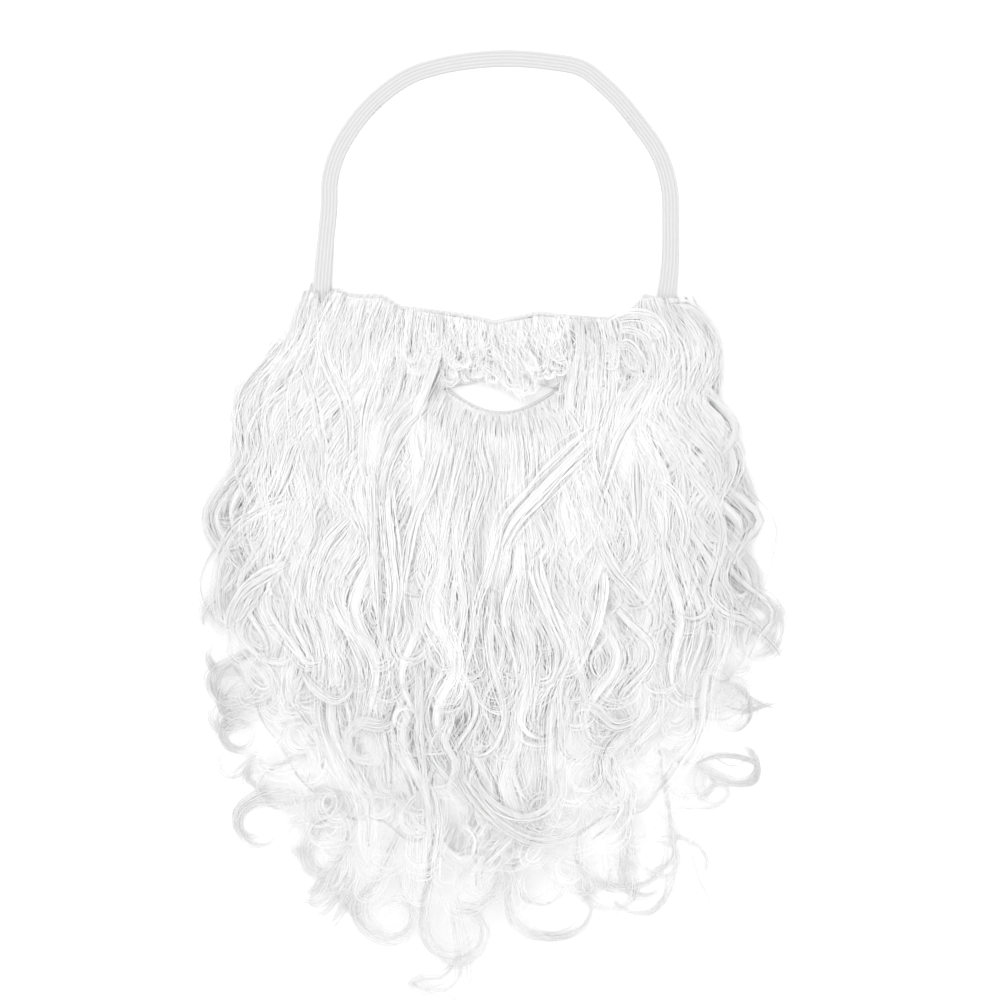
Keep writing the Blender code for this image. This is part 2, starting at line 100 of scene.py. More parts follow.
# Cross threads over the whole length
STRAP_PICKS = 620.0
STRAP_ROUTE = (
    (-99.0, 74.0, 1.55),
    (-99.5, 84.0, 1.55),
    (-99.0, 92.0, 1.6),
    (-97.5, 112.0, 0.0),
    (-95.8, 130.0, 0.0),
    (-95.2, 146.0, 0.0),
    (-92.0, 158.0, 0.0),
    (-83.0, 174.5, 0.0),
    (-66.5, 193.0, 0.0),
    (-49.0, 204.5, 0.0),
    (-33.0, 209.5, 0.0),
    (-17.0, 212.3, 0.0),
    (4.0, 213.6, 0.0),
    (28.0, 211.8, 0.0),
    (46.0, 208.0, 0.0),
    (59.5, 197.5, 0.0),
    (77.0, 177.8, 0.0),
    (90.0, 158.0, 0.0),
    (94.5, 143.0, 0.0),
    (95.6, 120.0, 0.0),
    (95.2, 98.0, 0.6),
    (94.0, 86.5, 1.55),
    (92.0, 73.0, 1.55),
)
# Where the band's inner edge buckles: place along the strap from its left end, and reach
STRAP_BUCKLES = ((122.0, 7.0), (287.0, 7.0))

# Hair mass: level, left, right and height, as in the solid
OUTLINE = (
    (90.0, -110.0, 105.0, 6.0),
    (53.0, -122.0, 121.0, 14.0),
    (20.0, -140.0, 122.0, 19.0),
    (-14.0, -149.0, 127.0, 24.0),
    (-48.0, -158.0, 134.0, 28.0),
    (-81.0, -162.0, 138.0, 31.0),
    (-115.0, -162.0, 146.0, 32.0),
    (-148.0, -155.0, 137.0, 31.0),
    (-182.0, -143.0, 121.0, 28.0),
    (-216.0, -118.0, 104.0, 23.0),
    (-249.0, -97.0, 54.0, 18.0),
    (-283.0, -64.0, 16.0, 13.0),
    (-306.0, -46.0, -12.0, 9.0),
)
MOUTH_DIP = 0.85
MOUTH_DIP_ACROSS = 62.0
MOUTH_DIP_ALONG = 30.0
MOUTH_DIP_LEVEL = 30.0
LOCK_FLATNESS = 0.26
WAVE_LENGTH = 64.0

# share, starts, ends, width, wave, phase, end curl radius, end curl turn, ride
FALLS = (
    (-0.95, 88.0, -104.0, 20.0, 8.0, 3.6, 15.0, 170.0, 0.80),
    (-0.83, 84.0, -134.0, 22.0, 8.0, 3.2, 13.0, -240.0, 0.95),
    (-0.69, 79.0, -174.0, 23.0, 7.0, 2.2, 12.0, -250.0, 0.90),
    (-0.56, 74.0, -222.0, 23.0, 7.0, 3.0, 12.0, 240.0, 1.00),
    (-0.42, 50.0, -152.0, 23.0, 7.0, 3.9, 12.0, -250.0, 1.05),
    (-0.28, 16.0, -240.0, 24.0, 6.0, 4.7, 12.0, 250.0, 0.96),
    (-0.14, 14.0, -176.0, 23.0, 6.0, 5.5, 11.0, -250.0, 1.05),
    (0.00, 13.0, -222.0, 23.0, 6.0, 0.0, 12.0, 250.0, 0.96),
    (0.14, 14.0, -150.0, 23.0, 6.0, 0.9, 12.0, 250.0, 1.05),
    (0.28, 16.0, -228.0, 23.0, 7.0, 1.6, 12.0, -240.0, 0.96),
    (0.43, 50.0, -160.0, 23.0, 7.0, 2.4, 12.0, 250.0, 1.05),
    (0.57, 70.0, -224.0, 23.0, 7.0, 3.2, 12.0, -240.0, 0.96),
    (0.70, 77.0, -134.0, 23.0, 7.0, 4.0, 12.0, 240.0, 1.03),
    (0.83, 79.0, -196.0, 22.0, 8.0, 4.8, 12.0, -230.0, 0.92),
    (0.95, 80.0, -112.0, 20.0, 7.0, 5.8, 14.0, 190.0, 0.82),
)
# across, level, heading, run, radius, tip radius, turn, width
CURLS = (
    (-132.0, 46.0, 232.0, 18.0, 22.0, 16.0, 110.0, 14.0),
    (-140.0, -22.0, 222.0, 16.0, 24.0, 16.0, 110.0, 14.0),
    (-140.0, -120.0, 205.0, 14.0, 12.0, 8.0, 290.0, 11.0),
    (-132.0, -146.0, 200.0, 18.0, 11.0, 8.0, 290.0, 10.0),
    (-104.0, -172.0, 208.0, 26.0, 12.0, 8.0, 250.0, 11.0),
    (-94.0, -198.0, 188.0, 42.0, 12.0, 11.0, 300.0, 6.0),
    (-96.0, -208.0, 240.0, 20.0, 12.0, 8.0, 230.0, 11.0),
    (-84.0, -222.0, 244.0, 34.0, 12.0, 8.0, -120.0, 11.0),
    (-60.0, -226.0, 244.0, 32.0, 16.0, 9.0, 320.0, 14.0),
    (-36.0, -224.0, 262.0, 44.0, 18.0, 9.0, 320.0, 16.0),
    (-24.0, -272.0, 278.0, 22.0, 14.0, 8.0, -240.0, 12.0),
    (-6.0, -214.0, 284.0, 24.0, 18.0, 14.0, -150.0, 8.0),
    (8.0, -222.0, 262.0, 28.0, 25.0, 20.0, 190.0, 6.0),
    (44.0, -218.0, 270.0, 26.0, 19.0, 15.0, 190.0, 9.0),
    (72.0, -206.0, 264.0, 36.0, 13.0, 10.0, 190.0, 7.0),
    (92.0, -192.0, 280.0, 36.0, 12.0, 9.0, -150.0, 7.0),
    (86.0, -172.0, -24.0, 48.0, 10.0, 11.0, 230.0, 6.0),
    (128.0, -86.0, -10.0, 14.0, 19.0, 12.0, -210.0, 12.0),
    (116.0, -132.0, -20.0, 16.0, 15.0, 10.0, -190.0, 11.0),
    (112.0, 4.0, -60.0, 26.0, 20.0, 14.0, -100.0, 13.0),
)
# across, level, heading, run, bend, width, rise
OVER_LIP = (
    (-48.0, 70.0, 256.0, 58.0, -4.0, 15.0, 6.5),
    (-37.0, 70.0, 258.0, 50.0, -10.0, 15.0, 7.5),
    (-25.0, 68.0, 264.0, 40.0, -20.0, 15.0, 8.0),
    (-13.0, 66.0, 268.0, 33.0, -14.0, 15.0, 8.0),
    (-5.0, 61.0, 300.0, 42.0, -8.0, 13.0, 9.5),
    (9.0, 66.0, 274.0, 33.0, 8.0, 15.0, 8.0),
    (21.0, 68.0, 276.0, 35.0, 14.0, 15.0, 8.0),
    (33.0, 67.0, 278.0, 42.0, 20.0, 15.0, 8.0),
    (45.0, 66.0, 279.0, 50.0, 14.0, 15.0, 7.5),
    (57.0, 66.0, 280.0, 58.0, 8.0, 15.0, 6.5),
)

# Locks that stand out: width, share of the mass's height, tone, then their way down. The tone stands for how
# lit each lock is: painted highlight on the light ones, painted shade on the dark ones
CHEEK_AND_BODY_LOCKS = (
    (8, 1.06, 0.75, (318, 296), (323, 325), (326, 350), (336, 378), (347, 404), (352, 436), (348, 470),
     (338, 498)),
    (7, 1.05, 0.60, (300, 318), (299, 345), (305, 370), (313, 394), (320, 425), (325, 460), (322, 492),
     (310, 520)),
    (9, 1.06, 0.80, (398, 324), (388, 345), (381, 372), (371, 400), (366, 430), (366, 460), (372, 492),
     (375, 520)),
    (11, 0.98, 0.50, (302, 335), (286, 362), (262, 388), (245, 410), (240, 438), (247, 468), (262, 492)),
    (8, 1.05, 0.60, (308, 380), (282, 398), (260, 420), (252, 446), (262, 470)),
    (12, 0.98, 0.60, (318, 478), (296, 500), (262, 516), (238, 535), (224, 562), (220, 596), (226, 630),
     (216, 660)),
    (8, 1.06, 0.90, (312, 428), (298, 448), (290, 472), (278, 498), (262, 522)),
    (8, 1.07, 0.70, (368, 500), (350, 520), (332, 540), (322, 562), (316, 596), (322, 632)),
    (7, 1.07, 0.60, (300, 560), (268, 575), (246, 592), (232, 620), (234, 650)),
    (10, 1.08, 0.98, (394, 470), (390, 505), (394, 545), (398, 585), (393, 625), (400, 665)),
    (7, 1.08, 0.70, (446, 412), (441, 450), (430, 488), (416, 520), (408, 560), (404, 605), (412, 640)),
    (7, 1.07, 0.25, (372, 440), (376, 490), (378, 550), (381, 610), (386, 660)),
    (7, 1.07, 0.35, (438, 398), (422, 413), (405, 432), (392, 458), (386, 492), (392, 520)),
    (7, 1.07, 0.35, (428, 390), (410, 403), (394, 424), (384, 450), (380, 480)),
    (7, 1.08, 0.80, (486, 416), (480, 445), (486, 478), (478, 510), (468, 545), (462, 580)),
    (6, 1.08, 0.60, (470, 414), (464, 450), (455, 490), (446, 530), (440, 565)),
    (6, 1.08, 0.85, (500, 500), (496, 535), (488, 570), (478, 600), (470, 640)),
    (7, 1.06, 0.50, (345, 560), (340, 590), (350, 620), (366, 650), (376, 684)),
    (6, 1.06, 0.55, (328, 598), (345, 622), (362, 640), (378, 665)),
    (9, 1.06, 0.90, (604, 328), (622, 319), (646, 319), (662, 333), (664, 356), (658, 380)),
    (6, 1.06, 0.45, (606, 340), (624, 331), (642, 337), (652, 356), (652, 384), (644, 410)),
    (6, 1.05, 0.45, (612, 352), (626, 346), (637, 357), (641, 376), (636, 400)),
    (9, 1.00, 0.70, (664, 305), (688, 307), (706, 322), (715, 350), (719, 380), (716, 408), (722, 432)),
    (9, 1.04, 0.80, (668, 309), (688, 324), (699, 350), (703, 382), (701, 412), (694, 440)),
    (8, 1.05, 0.60, (668, 325), (680, 350), (682, 385), (676, 410), (664, 436)),
    (9, 1.02, 0.60, (690, 400), (700, 428), (714, 452), (734, 478), (742, 502), (736, 530), (724, 556),
     (720, 582), (732, 604), (752, 622), (768, 646), (764, 668)),
    (6, 0.98, 0.50, (712, 440), (732, 460), (748, 480), (753, 504), (747, 527), (734, 542)),
    (8, 1.06, 0.80, (650, 384), (640, 406), (624, 428), (612, 452), (604, 478), (596, 502), (588, 528)),
    (15, 1.08, 0.95, (612, 420), (592, 438), (570, 460), (550, 480), (532, 500), (514, 520), (503, 542),
     (496, 568), (488, 592)),
    (8, 1.07, 0.30, (554, 400), (566, 412), (577, 430), (582, 452), (578, 476)),
    (8, 1.07, 0.35, (541, 408), (552, 421), (560, 440), (562, 462), (556, 484)),
    (7, 1.08, 0.80, (640, 478), (662, 486), (677, 504), (684, 526), (680, 548), (668, 566)),
    (7, 1.08, 0.95, (644, 486), (652, 500), (660, 518), (658, 540), (646, 556)),
    (7, 1.06, 0.30, (634, 450), (635, 480), (636, 512), (630, 540)),
    (9, 1.06, 0.60, (664, 420), (672, 448), (690, 476), (708, 500), (718, 530), (714, 560), (706, 588),
     (712, 614), (730, 636)),
    (8, 1.09, 0.95, (538, 545), (536, 572), (546, 600), (556, 624), (566, 648), (573, 668)),
    (7, 1.09, 0.85, (600, 560), (600, 590), (594, 620), (584, 646), (574, 668)),
    (7, 1.08, 0.60, (522, 560), (511, 588), (506, 618), (514, 648), (526, 676)),
    (7, 1.06, 0.50, (594, 520), (600, 548), (616, 574), (634, 594), (652, 616)),
    (8, 1.04, 0.50, (700, 560), (704, 590), (722, 612), (744, 620), (766, 636), (780, 658), (772, 682)),
)
# Same columns; the tone again stands for painted highlight and shade
LOW_LOCKS = (
    (6, 1.05, 0.40, (424, 640), (421, 685), (421, 725), (425, 765), (429, 805), (431, 850)),
    (9, 1.06, 0.60, (455, 742), (462, 772), (480, 800), (505, 822), (535, 836), (562, 834), (580, 816),
     (582, 792)),
    (7, 1.08, 0.50, (468, 750), (478, 780), (500, 804), (528, 812), (550, 800), (556, 780), (540, 764),
     (520, 766)),
    (6, 1.10, 0.45, (398, 702), (384, 720), (364, 718), (350, 734), (356, 752), (376, 755), (384, 741),
     (372, 734)),
    (6, 1.08, 0.60, (300, 660), (318, 684), (340, 696), (352, 686), (346, 668)),
    (6, 1.08, 0.70, (440, 690), (452, 712), (446, 734), (458, 760), (452, 784), (466, 806)),
    (6, 1.06, 0.55, (560, 690), (590, 704), (616, 722), (636, 712), (632, 690)),
    (5, 0.90, 0.50, (724, 704), (745, 709), (766, 704), (784, 698)),
    (5, 0.90, 0.45, (304, 790), (276, 789), (252, 796), (235, 812), (239, 831), (256, 837), (272, 826),
     (286, 808)),
    (4, 0.90, 0.40, (690, 764), (715, 756), (742, 757), (759, 768), (755, 782), (735, 785), (712, 781),
     (697, 770)),
    (5, 0.90, 0.45, (455, 854), (478, 848), (500, 857), (513, 874), (500, 895), (478, 912), (462, 930)),
    (7, 0.90, 0.40, (440, 850), (428, 880), (424, 912), (434, 944), (456, 960), (479, 949), (486, 925),
     (470, 907), (451, 915), (449, 933), (464, 940)),
    (5, 0.90, 0.55, (462, 948), (442, 972), (422, 975), (410, 984), (424, 990), (446, 983), (456, 993)),
    (5, 0.90, 0.45, (505, 898), (513, 921), (535, 935), (562, 937), (584, 924), (590, 905), (578, 893),
     (560, 886)),
    (5, 0.90, 0.50, (522, 848), (513, 874), (526, 896), (548, 901), (564, 888), (560, 868)),
    (5, 0.95, 0.45, (572, 848), (585, 871), (610, 886), (640, 884), (661, 869), (666, 846), (654, 829)),
    (4, 0.90, 0.40, (612, 900), (630, 912), (654, 909), (670, 890), (673, 860), (667, 840)),
    (3, 0.90, 0.40, (660, 836), (684, 838), (702, 850), (707, 867), (697, 883)),
    (6, 0.90, 0.45, (347, 848), (326, 871), (310, 891), (298, 893)),
    (5, 0.90, 0.50, (352, 868), (336, 898), (320, 915), (306, 916)),
    (5, 0.90, 0.40, (356, 878), (344, 906), (332, 924), (320, 928)),
    (7, 0.90, 0.30, (395, 868), (371, 884), (354, 905), (363, 929), (388, 940), (410, 929), (414, 908),
     (399, 895), (381, 901), (376, 915), (388, 923)),
    (6, 0.98, 0.50, (332, 800), (311, 830), (302, 857), (313, 874), (331, 866)),
    (5, 0.90, 0.50, (238, 660), (216, 670), (207, 656), (214, 640)),
    (6, 0.92, 0.50, (262, 684), (238, 680), (224, 692), (226, 712), (242, 718), (252, 706)),
    (6, 0.92, 0.45, (256, 724), (236, 722), (224, 734), (232, 748), (252, 750), (268, 742)),
    (6, 0.94, 0.50, (300, 752), (276, 764), (254, 762), (248, 776), (264, 788), (286, 782)),
)
# Same columns; the tone again stands for painted highlight and shade
TUFT_LOCKS = (
    (6, 1.0, 0.30, (490, 346), (508, 360), (518, 381), (521, 401)),
    (5, 1.0, 0.40, (500, 350), (520, 360), (531, 378), (527, 398)),
    (5, 1.0, 0.30, (476, 362), (495, 374), (507, 388), (512, 398)),
    (5, 1.0, 0.50, (512, 344), (532, 358), (538, 374), (534, 390)),
)
# Lower edge of the hair that hangs over the mouth
FRINGE_EDGE = (
    (442, 394),
    (449, 388),
    (458, 386),
    (476, 387),
    (493, 390),
    (502, 393),
    (512, 397),
    (521, 405),
    (526, 403),
    (531, 397),
    (544, 388),
    (551, 383),
    (560, 383),
)


# Numbers shared by every piece

def smoothed(knots, rows, spots):
    """Rows of a table at new spots, along a smooth curve through its knots."""
    slopes = np.gradient(rows, knots, axis=0)
    i = np.clip(np.searchsorted(knots, spots, side="right") - 1, 0, len(knots) - 2)
    gap = (knots[i + 1] - knots[i])[:, None]
    t = (spots - knots[i])[:, None] / gap
    return (
        (2 * t ** 3 - 3 * t ** 2 + 1) * rows[i]
        + (t ** 3 - 2 * t ** 2 + t) * gap * slopes[i]
        + (3 * t ** 2 - 2 * t ** 3) * rows[i + 1]
        + (t ** 3 - t ** 2) * gap * slopes[i + 1]
    )


def outline_columns():
    """Smooth left, right and height columns on a fine row of levels."""
    table = np.array(OUTLINE)[::-1]
    fine = np.linspace(table[0, 0], table[-1, 0], 400)
    return fine, smoothed(table[:, 0], table[:, 1:], fine).T


FINE_LEVELS, FINE_EDGES = outline_columns()


def outline_at(level):
    return [np.interp(level, FINE_LEVELS, column) for column in FINE_EDGES]


def surface(across, level):
    """Height of the hair mass over the table."""
    left, right, height = outline_at(level)
    share = np.abs((2 * across - left - right) / (right - left))
    dome = np.maximum(1 - share ** 2.4, 0.0) ** 0.6
    reach = (across / MOUTH_DIP_ACROSS) ** 2 + ((level - MOUTH_DIP_LEVEL) / MOUTH_DIP_ALONG) ** 2
    return height * dome * (1 - MOUTH_DIP * np.exp(-reach))


def run_of(path):
    """Distance from the first point of a path to each of its points."""
    return np.concatenate(([0.0], np.cumsum(np.linalg.norm(np.diff(path, axis=0), axis=1))))


def smooth_route(points, count):
    """Even points on a smooth curve through a table of places."""
    places = np.array(points, dtype=float)
    along = run_of(places[:, :2])
    return smoothed(along, places, np.linspace(0.0, along[-1], count))


def mouth_edges(part, extra):
    """Levels of the lower and upper edge of the mouth, from -1 at its left corner to 1 at its right."""
    bow = np.cos(0.5 * math.pi * part)
    lower = MOUTH_CORNER_LEVEL - (MOUTH_LOWER_SAG + extra) * bow
    upper = MOUTH_CORNER_LEVEL + (MOUTH_UPPER_RISE + extra) * bow
    return lower, upper


def mouth_outline(extra=0.0, steps=41):
    """Lower and upper edge of the mouth opening grown by a margin."""
    reach = 0.5 * MOUTH_WIDTH + extra
    part = np.linspace(-1.0, 1.0, steps)
    x = MOUTH_CENTRE + reach * part
    return tuple(np.stack([x, edge], axis=1) for edge in mouth_edges(part, extra))


def from_view(places):
    """Millimetres across and along from places counted over the picture."""
    return (np.array(places, dtype=float) - VIEW_ZERO) * (VIEW_STEP, -VIEW_STEP)


def in_mouth(x, y, extra):
    """True inside the mouth opening grown by a margin."""
    part = np.clip((x - MOUTH_CENTRE) / (0.5 * MOUTH_WIDTH + extra), -1.0, 1.0)
    low, high = mouth_edges(part, extra)
    return (np.abs(part) < 1.0) & (y > low) & (y < high)


HEM_X, HEM_Y = np.array(HEM_EDGE).T
FRINGE_X, FRINGE_Y = from_view(FRINGE_EDGE).T


def over_hem(x, y, margin):
    """True where hair would stand out above the hem between the strap ends."""
    return (x > HEM_X[0]) & (x < HEM_X[-1]) & (y > np.interp(x, HEM_X, HEM_Y) + margin)


def in_gap(x, y, extra):
    """True in the part of the mouth opening that the fringe above it leaves clear."""
    return in_mouth(x, y, extra) & (y < np.interp(x, FRINGE_X, FRINGE_Y))


# Lock centrelines, shared by the bodies and the strands

LOCK_POINTS = 90
TRACED_RIDE = 1.06
CURL_WEIGHT = 18.0
# Growth of a lock's width from its root, and the power of its thinning towards the tip
ROOT_GROWTH = 2.4
TIP_POWER = 2.2
# Share of a lock over which its root comes up out of the mass
SUNK_PART = 0.22


def spiral(start, heading, radius, tip_radius, turn, step=9.0):
    """Curl that goes on from a place in a heading, its radius changing evenly; turn and step are degrees."""
    count = max(int(round(abs(turn) / step)), 2)
    bend = math.radians(turn) / count
    sizes = np.linspace(radius, tip_radius, count)
    headings = heading + bend * (np.arange(count) + 0.5)
    dx = np.cumsum(sizes * abs(bend) * np.cos(headings))
    dy = np.cumsum(sizes * abs(bend) * np.sin(headings))
    return np.stack([start[0] + dx, start[1] + dy], axis=1)


def spaced(path, count):
    """Points along a flat path, closer together where it turns."""
    step = np.diff(path, axis=0)
    heading = np.unwrap(np.arctan2(step[:, 1], step[:, 0]))
    turn = np.abs(np.gradient(heading))
    along = np.concatenate(([0.0], np.cumsum(np.linalg.norm(step, axis=1) + CURL_WEIGHT * turn)))
    spots = np.linspace(0.0, along[-1], count)
    return np.stack([np.interp(spots, along, path[:, k]) for k in range(path.shape[1])], axis=1)


def taper(count, width, root, tip):
    """Width along a lock; root and tip are its shares at the two ends."""
    along = np.linspace(0.0, 1.0, count)
    grown = np.minimum(root + ROOT_GROWTH * along, 1.0)
    return width * grown * (1 - (1 - tip) * along ** TIP_POWER)


def laid(flat_path, width, ride, sunk=0.0, least=0.0, root=0.7, tip=0.30):
    """Lock on the mass or the table: its points, and half its width at each.

    sunk is the share of its height that the root lacks; least is the lowest height of the middle.
    """
    path = spaced(np.asarray(flat_path), LOCK_POINTS)
    along = np.linspace(0.0, 1.0, LOCK_POINTS)
    widths = taper(LOCK_POINTS, width, root, tip)
    height = surface(path[:, 0], path[:, 1]) * ride * (1 - sunk * np.clip(1 - along / SUNK_PART, 0.0, 1.0))
    z = np.maximum(height, 0.5 * LOCK_FLATNESS * widths + 0.2)
    z = np.maximum(z, least * (0.55 + 0.45 * np.sin(math.pi * along)))
    z = np.convolve(np.pad(z, 2, mode="edge"), np.ones(5) / 5, mode="valid")
    return np.column_stack([path, z]), 0.5 * widths


def fall_path(share, starts, ends, wave, phase, wave_length=WAVE_LENGTH, drift=0.0):
    """Waved fall at one share of the mass's width; hair below the lip is nearly straight at first."""
    levels = np.linspace(starts, ends, int((starts - ends) / 3.0) + 3)
    left, right, _ = outline_at(levels)
    fallen = starts - levels
    calm = np.clip((levels + 115.0) / 70.0, 0.0, 1.0) * max(0.0, 1 - abs(share - 0.06) / 0.42)
    sway = wave * np.minimum(fallen / 60.0, 1.0) * (1 - 0.60 * calm)
    sway = sway * (0.75 + 0.35 * np.sin(0.021 * levels + 9.0 * share)) * (1 + 0.9 * share ** 2)
    across = 0.5 * (left + right) + 0.5 * share * (right - left)
    across = across + sway * np.sin(2 * math.pi * fallen / wave_length + phase)
    across = across + drift * np.sin(np.clip(fallen / 150.0, 0.0, 1.0) * 0.5 * math.pi) ** 2
    return np.stack([across, levels], axis=1)


def heading_at_end(path):
    return math.atan2(path[-1, 1] - path[-2, 1], path[-1, 0] - path[-2, 0])


def fall_lock(
    share, starts, ends, width, wave, phase, radius, turn, ride,
    sunk=0.0, root=0.7, wave_length=WAVE_LENGTH, drift=0.0,
):
    """Waved fall that ends in a curl."""
    path = fall_path(share, starts, ends, wave, phase, wave_length, drift)
    path = np.vstack([path, spiral(path[-1], heading_at_end(path), radius, 0.62 * radius, turn)])
    return laid(path, width, ride, sunk, root=root)


def large_lock(share, starts, ends, width, wave, phase, radius, turn, ride):
    """Lock of the solid; those that start inside the mass come up from below it."""
    inside = starts < 60.0
    wave_length = WAVE_LENGTH * (1 + 0.10 * math.sin(9 * share))
    return fall_lock(
        share, starts, ends, width, 0.75 * wave, phase, radius, turn, 0.97 * ride,
        sunk=0.75 if inside else 0.1, root=0.2 if inside else 0.5, wave_length=wave_length,
    )


def traced_lock(width, ride, _, *places, least=0.0):
    """Lock along places counted over the picture; the third number of its row is its tone, which is not used
    here.
    """
    path = smooth_route(from_view(places), 110)
    return laid(path, width, TRACED_RIDE * ride, 0.2, least, root=0.45, tip=0.55)


def curl_lock(across, level, heading, run, radius, tip_radius, turn, width, ride=0.85, sunk=0.35, least=0.0):
    """Straight run in a heading, then a curl."""
    heading = math.radians(heading)
    straight = np.linspace(0.0, run, 8)[:, None] * np.array([[math.cos(heading), math.sin(heading)]])
    path = straight + np.array([[across, level]])
    path = np.vstack([path, spiral(path[-1], heading, radius, tip_radius, turn)])
    return laid(path, width, ride, sunk, least, root=0.5)


def side_curl(across, level, heading, run, radius, tip_radius, turn, width):
    """Curl of the solid, with its root drawn back into the mass."""
    back = 16.0
    away = math.radians(heading)
    across, level = across - back * math.cos(away), level - back * math.sin(away)
    return curl_lock(across, level, heading, run + back, radius, tip_radius, turn, 0.70 * width)


def over_lip_lock(across, level, heading, run, bend, width, rise):
    """Short bent lock of the solid over the lip."""
    along = np.linspace(0.0, 1.0, LOCK_POINTS)
    turned = math.radians(heading) + math.radians(bend) * along
    x = across + np.concatenate(([0.0], np.cumsum(np.cos(turned[:-1])))) * run / (LOCK_POINTS - 1)
    y = level + np.concatenate(([0.0], np.cumsum(np.sin(turned[:-1])))) * run / (LOCK_POINTS - 1)
    z = rise * (0.62 + 0.38 * np.sin(math.pi * along))
    return np.stack([x, y, z], axis=1), 0.5 * taper(LOCK_POINTS, width, 0.7, 0.30)


def place_at(share, level):
    """Distance across the face of a share of the mass's width."""
    left, right, _ = outline_at(level)
    return float(0.5 * (left + right) + 0.5 * share * (right - left))


def root_level(share):
    """Where hair of this share leaves the cloth: at the top hem, or below the lip."""
    across = place_at(share, 28.0)
    part = (across - MOUTH_CENTRE) / (0.5 * MOUTH_WIDTH + 8.0)
    if abs(part) < 1.0:
        return MOUTH_CORNER_LEVEL - (MOUTH_LOWER_SAG + 3.0) * math.cos(0.5 * math.pi * part)
    across = place_at(share, 80.0)
    return float(np.interp(across, HEM_X, HEM_Y)) - 1.6


def wave_phase(share, fallen):
    """Neighbouring locks wave together, whatever level they start from."""
    return 2.2 + 6.0 * (share + 0.69) + 2 * math.pi * fallen / WAVE_LENGTH


# Layers of waved locks: starting drop below the root, length, width, wave, ride, number
DEEP_LAYER = (0.0, 250.0, 16.0, 6.0, 0.97, 34)
MIDDLE_LAYER = (0.0, 150.0, 11.0, 6.5, 1.00, 32)
UPPER_LAYER = (40.0, 125.0, 9.5, 9.0, 1.01, 34)
LOW_LAYER = (88.0, 100.0, 9.0, 10.0, 1.01, 38)


def either_way(rng, least, most):
    """Turn in degrees, to one side or the other."""
    return float(rng.choice([-1, 1]) * rng.uniform(least, most))


def layer_of_falls(rng, drop, length, width, wave, ride, number):
    """Waved locks side by side over the whole width of the mass."""
    locks = []
    for share in np.linspace(-0.96, 0.96, number):
        share = float(share + rng.uniform(-0.025, 0.025))
        root = root_level(share)
        fallen = drop * rng.uniform(0.6, 1.3)
        run = length * rng.uniform(0.72, 1.15) * (1 - 0.25 * abs(share) ** 3)
        ends = max(root - fallen - run, -252.0 + 90.0 * abs(share) ** 1.5)
        locks.append(fall_lock(
            share, root - fallen, ends, width * rng.uniform(0.7, 1.3), wave * rng.uniform(0.75, 1.15),
            wave_phase(share, fallen) + rng.uniform(-1.0, 1.0), rng.uniform(6.5, 12.0),
            either_way(rng, 140, 330), ride * rng.uniform(0.96, 1.04),
            sunk=0.45 if drop else 0.0, root=0.35 if drop else 0.6,
            wave_length=WAVE_LENGTH * rng.uniform(0.75, 1.25), drift=rng.uniform(-9.0, 9.0),
        ))
    return locks


def squashed_curl(across, level, heading, run, radius, turn, width, ride, squash, lean):
    """Curl that lies over, so that it shows as an oval."""
    heading = math.radians(heading)
    straight = np.linspace(0.0, run, 6)[:, None] * np.array([[math.cos(heading), math.sin(heading)]])
    path = np.vstack([straight, spiral(straight[-1], heading, radius, 0.55 * radius, turn)])
    pivot = straight[-1]
    turned = np.array([[math.cos(lean), math.sin(lean)], [-math.sin(lean), math.cos(lean)]])
    path = ((path - pivot) @ turned * (1.0, squash)) @ turned.T + pivot + (across, level)
    return laid(path, width, ride, 0.30, root=0.5)


# Highest and lowest row of ringlets, their number, and the row from which they lie closer
RINGLET_LEVELS = (-84.0, -236.0)
RINGLET_ROWS = 14
CLOSE_ROW = 9


def ringlet_locks(rng):
    """Small curls all over the lower half, a few of them higher up."""
    locks = []
    for row, level in enumerate(np.linspace(*RINGLET_LEVELS, RINGLET_ROWS)):
        left, right, _ = outline_at(level)
        apart = 20.0 if row < CLOSE_ROW else 14.5
        number = int(round((right - left) / apart)) if row > 1 else 8
        for k in range(number):
            share = (k + 0.5 + rng.uniform(-0.45, 0.45)) / number * 2 - 1
            place = level + rng.uniform(-7.0, 7.0)
            locks.append(squashed_curl(
                place_at(0.92 * share, place), place, 270.0 + 30.0 * share + rng.uniform(-60, 60),
                rng.uniform(6.0, 24.0), rng.uniform(7.0, 15.0), either_way(rng, 150, 360),
                rng.uniform(4.0, 8.5), rng.uniform(0.98, 1.09), rng.uniform(0.5, 1.0),
                rng.uniform(0.0, math.pi),
            ))
    return locks


def lip_locks(rng):
    """Straight wisps that fan from the lower lip over the locks below it."""
    locks = []
    for part in np.linspace(-0.97, 0.97, 30):
        bow = math.cos(0.5 * math.pi * part)
        x = MOUTH_CENTRE + (0.5 * MOUTH_WIDTH + 2.6) * part
        y = MOUTH_CORNER_LEVEL - (MOUTH_LOWER_SAG + 2.6) * bow
        run = rng.uniform(55.0, 105.0)
        along = np.linspace(0.0, 1.0, 26)
        lean = (30.0 * part + rng.uniform(-3, 3)) * along ** 0.8
        sway = 2.6 * along * np.sin(2 * math.pi * run * along / WAVE_LENGTH + wave_phase(0.3 * part, 0.0))
        path = np.stack([x + lean + sway, y - run * along], axis=1)
        locks.append(laid(path, rng.uniform(5.0, 8.0), rng.uniform(1.02, 1.07), 0.0, 2.2, root=0.8))
    return locks


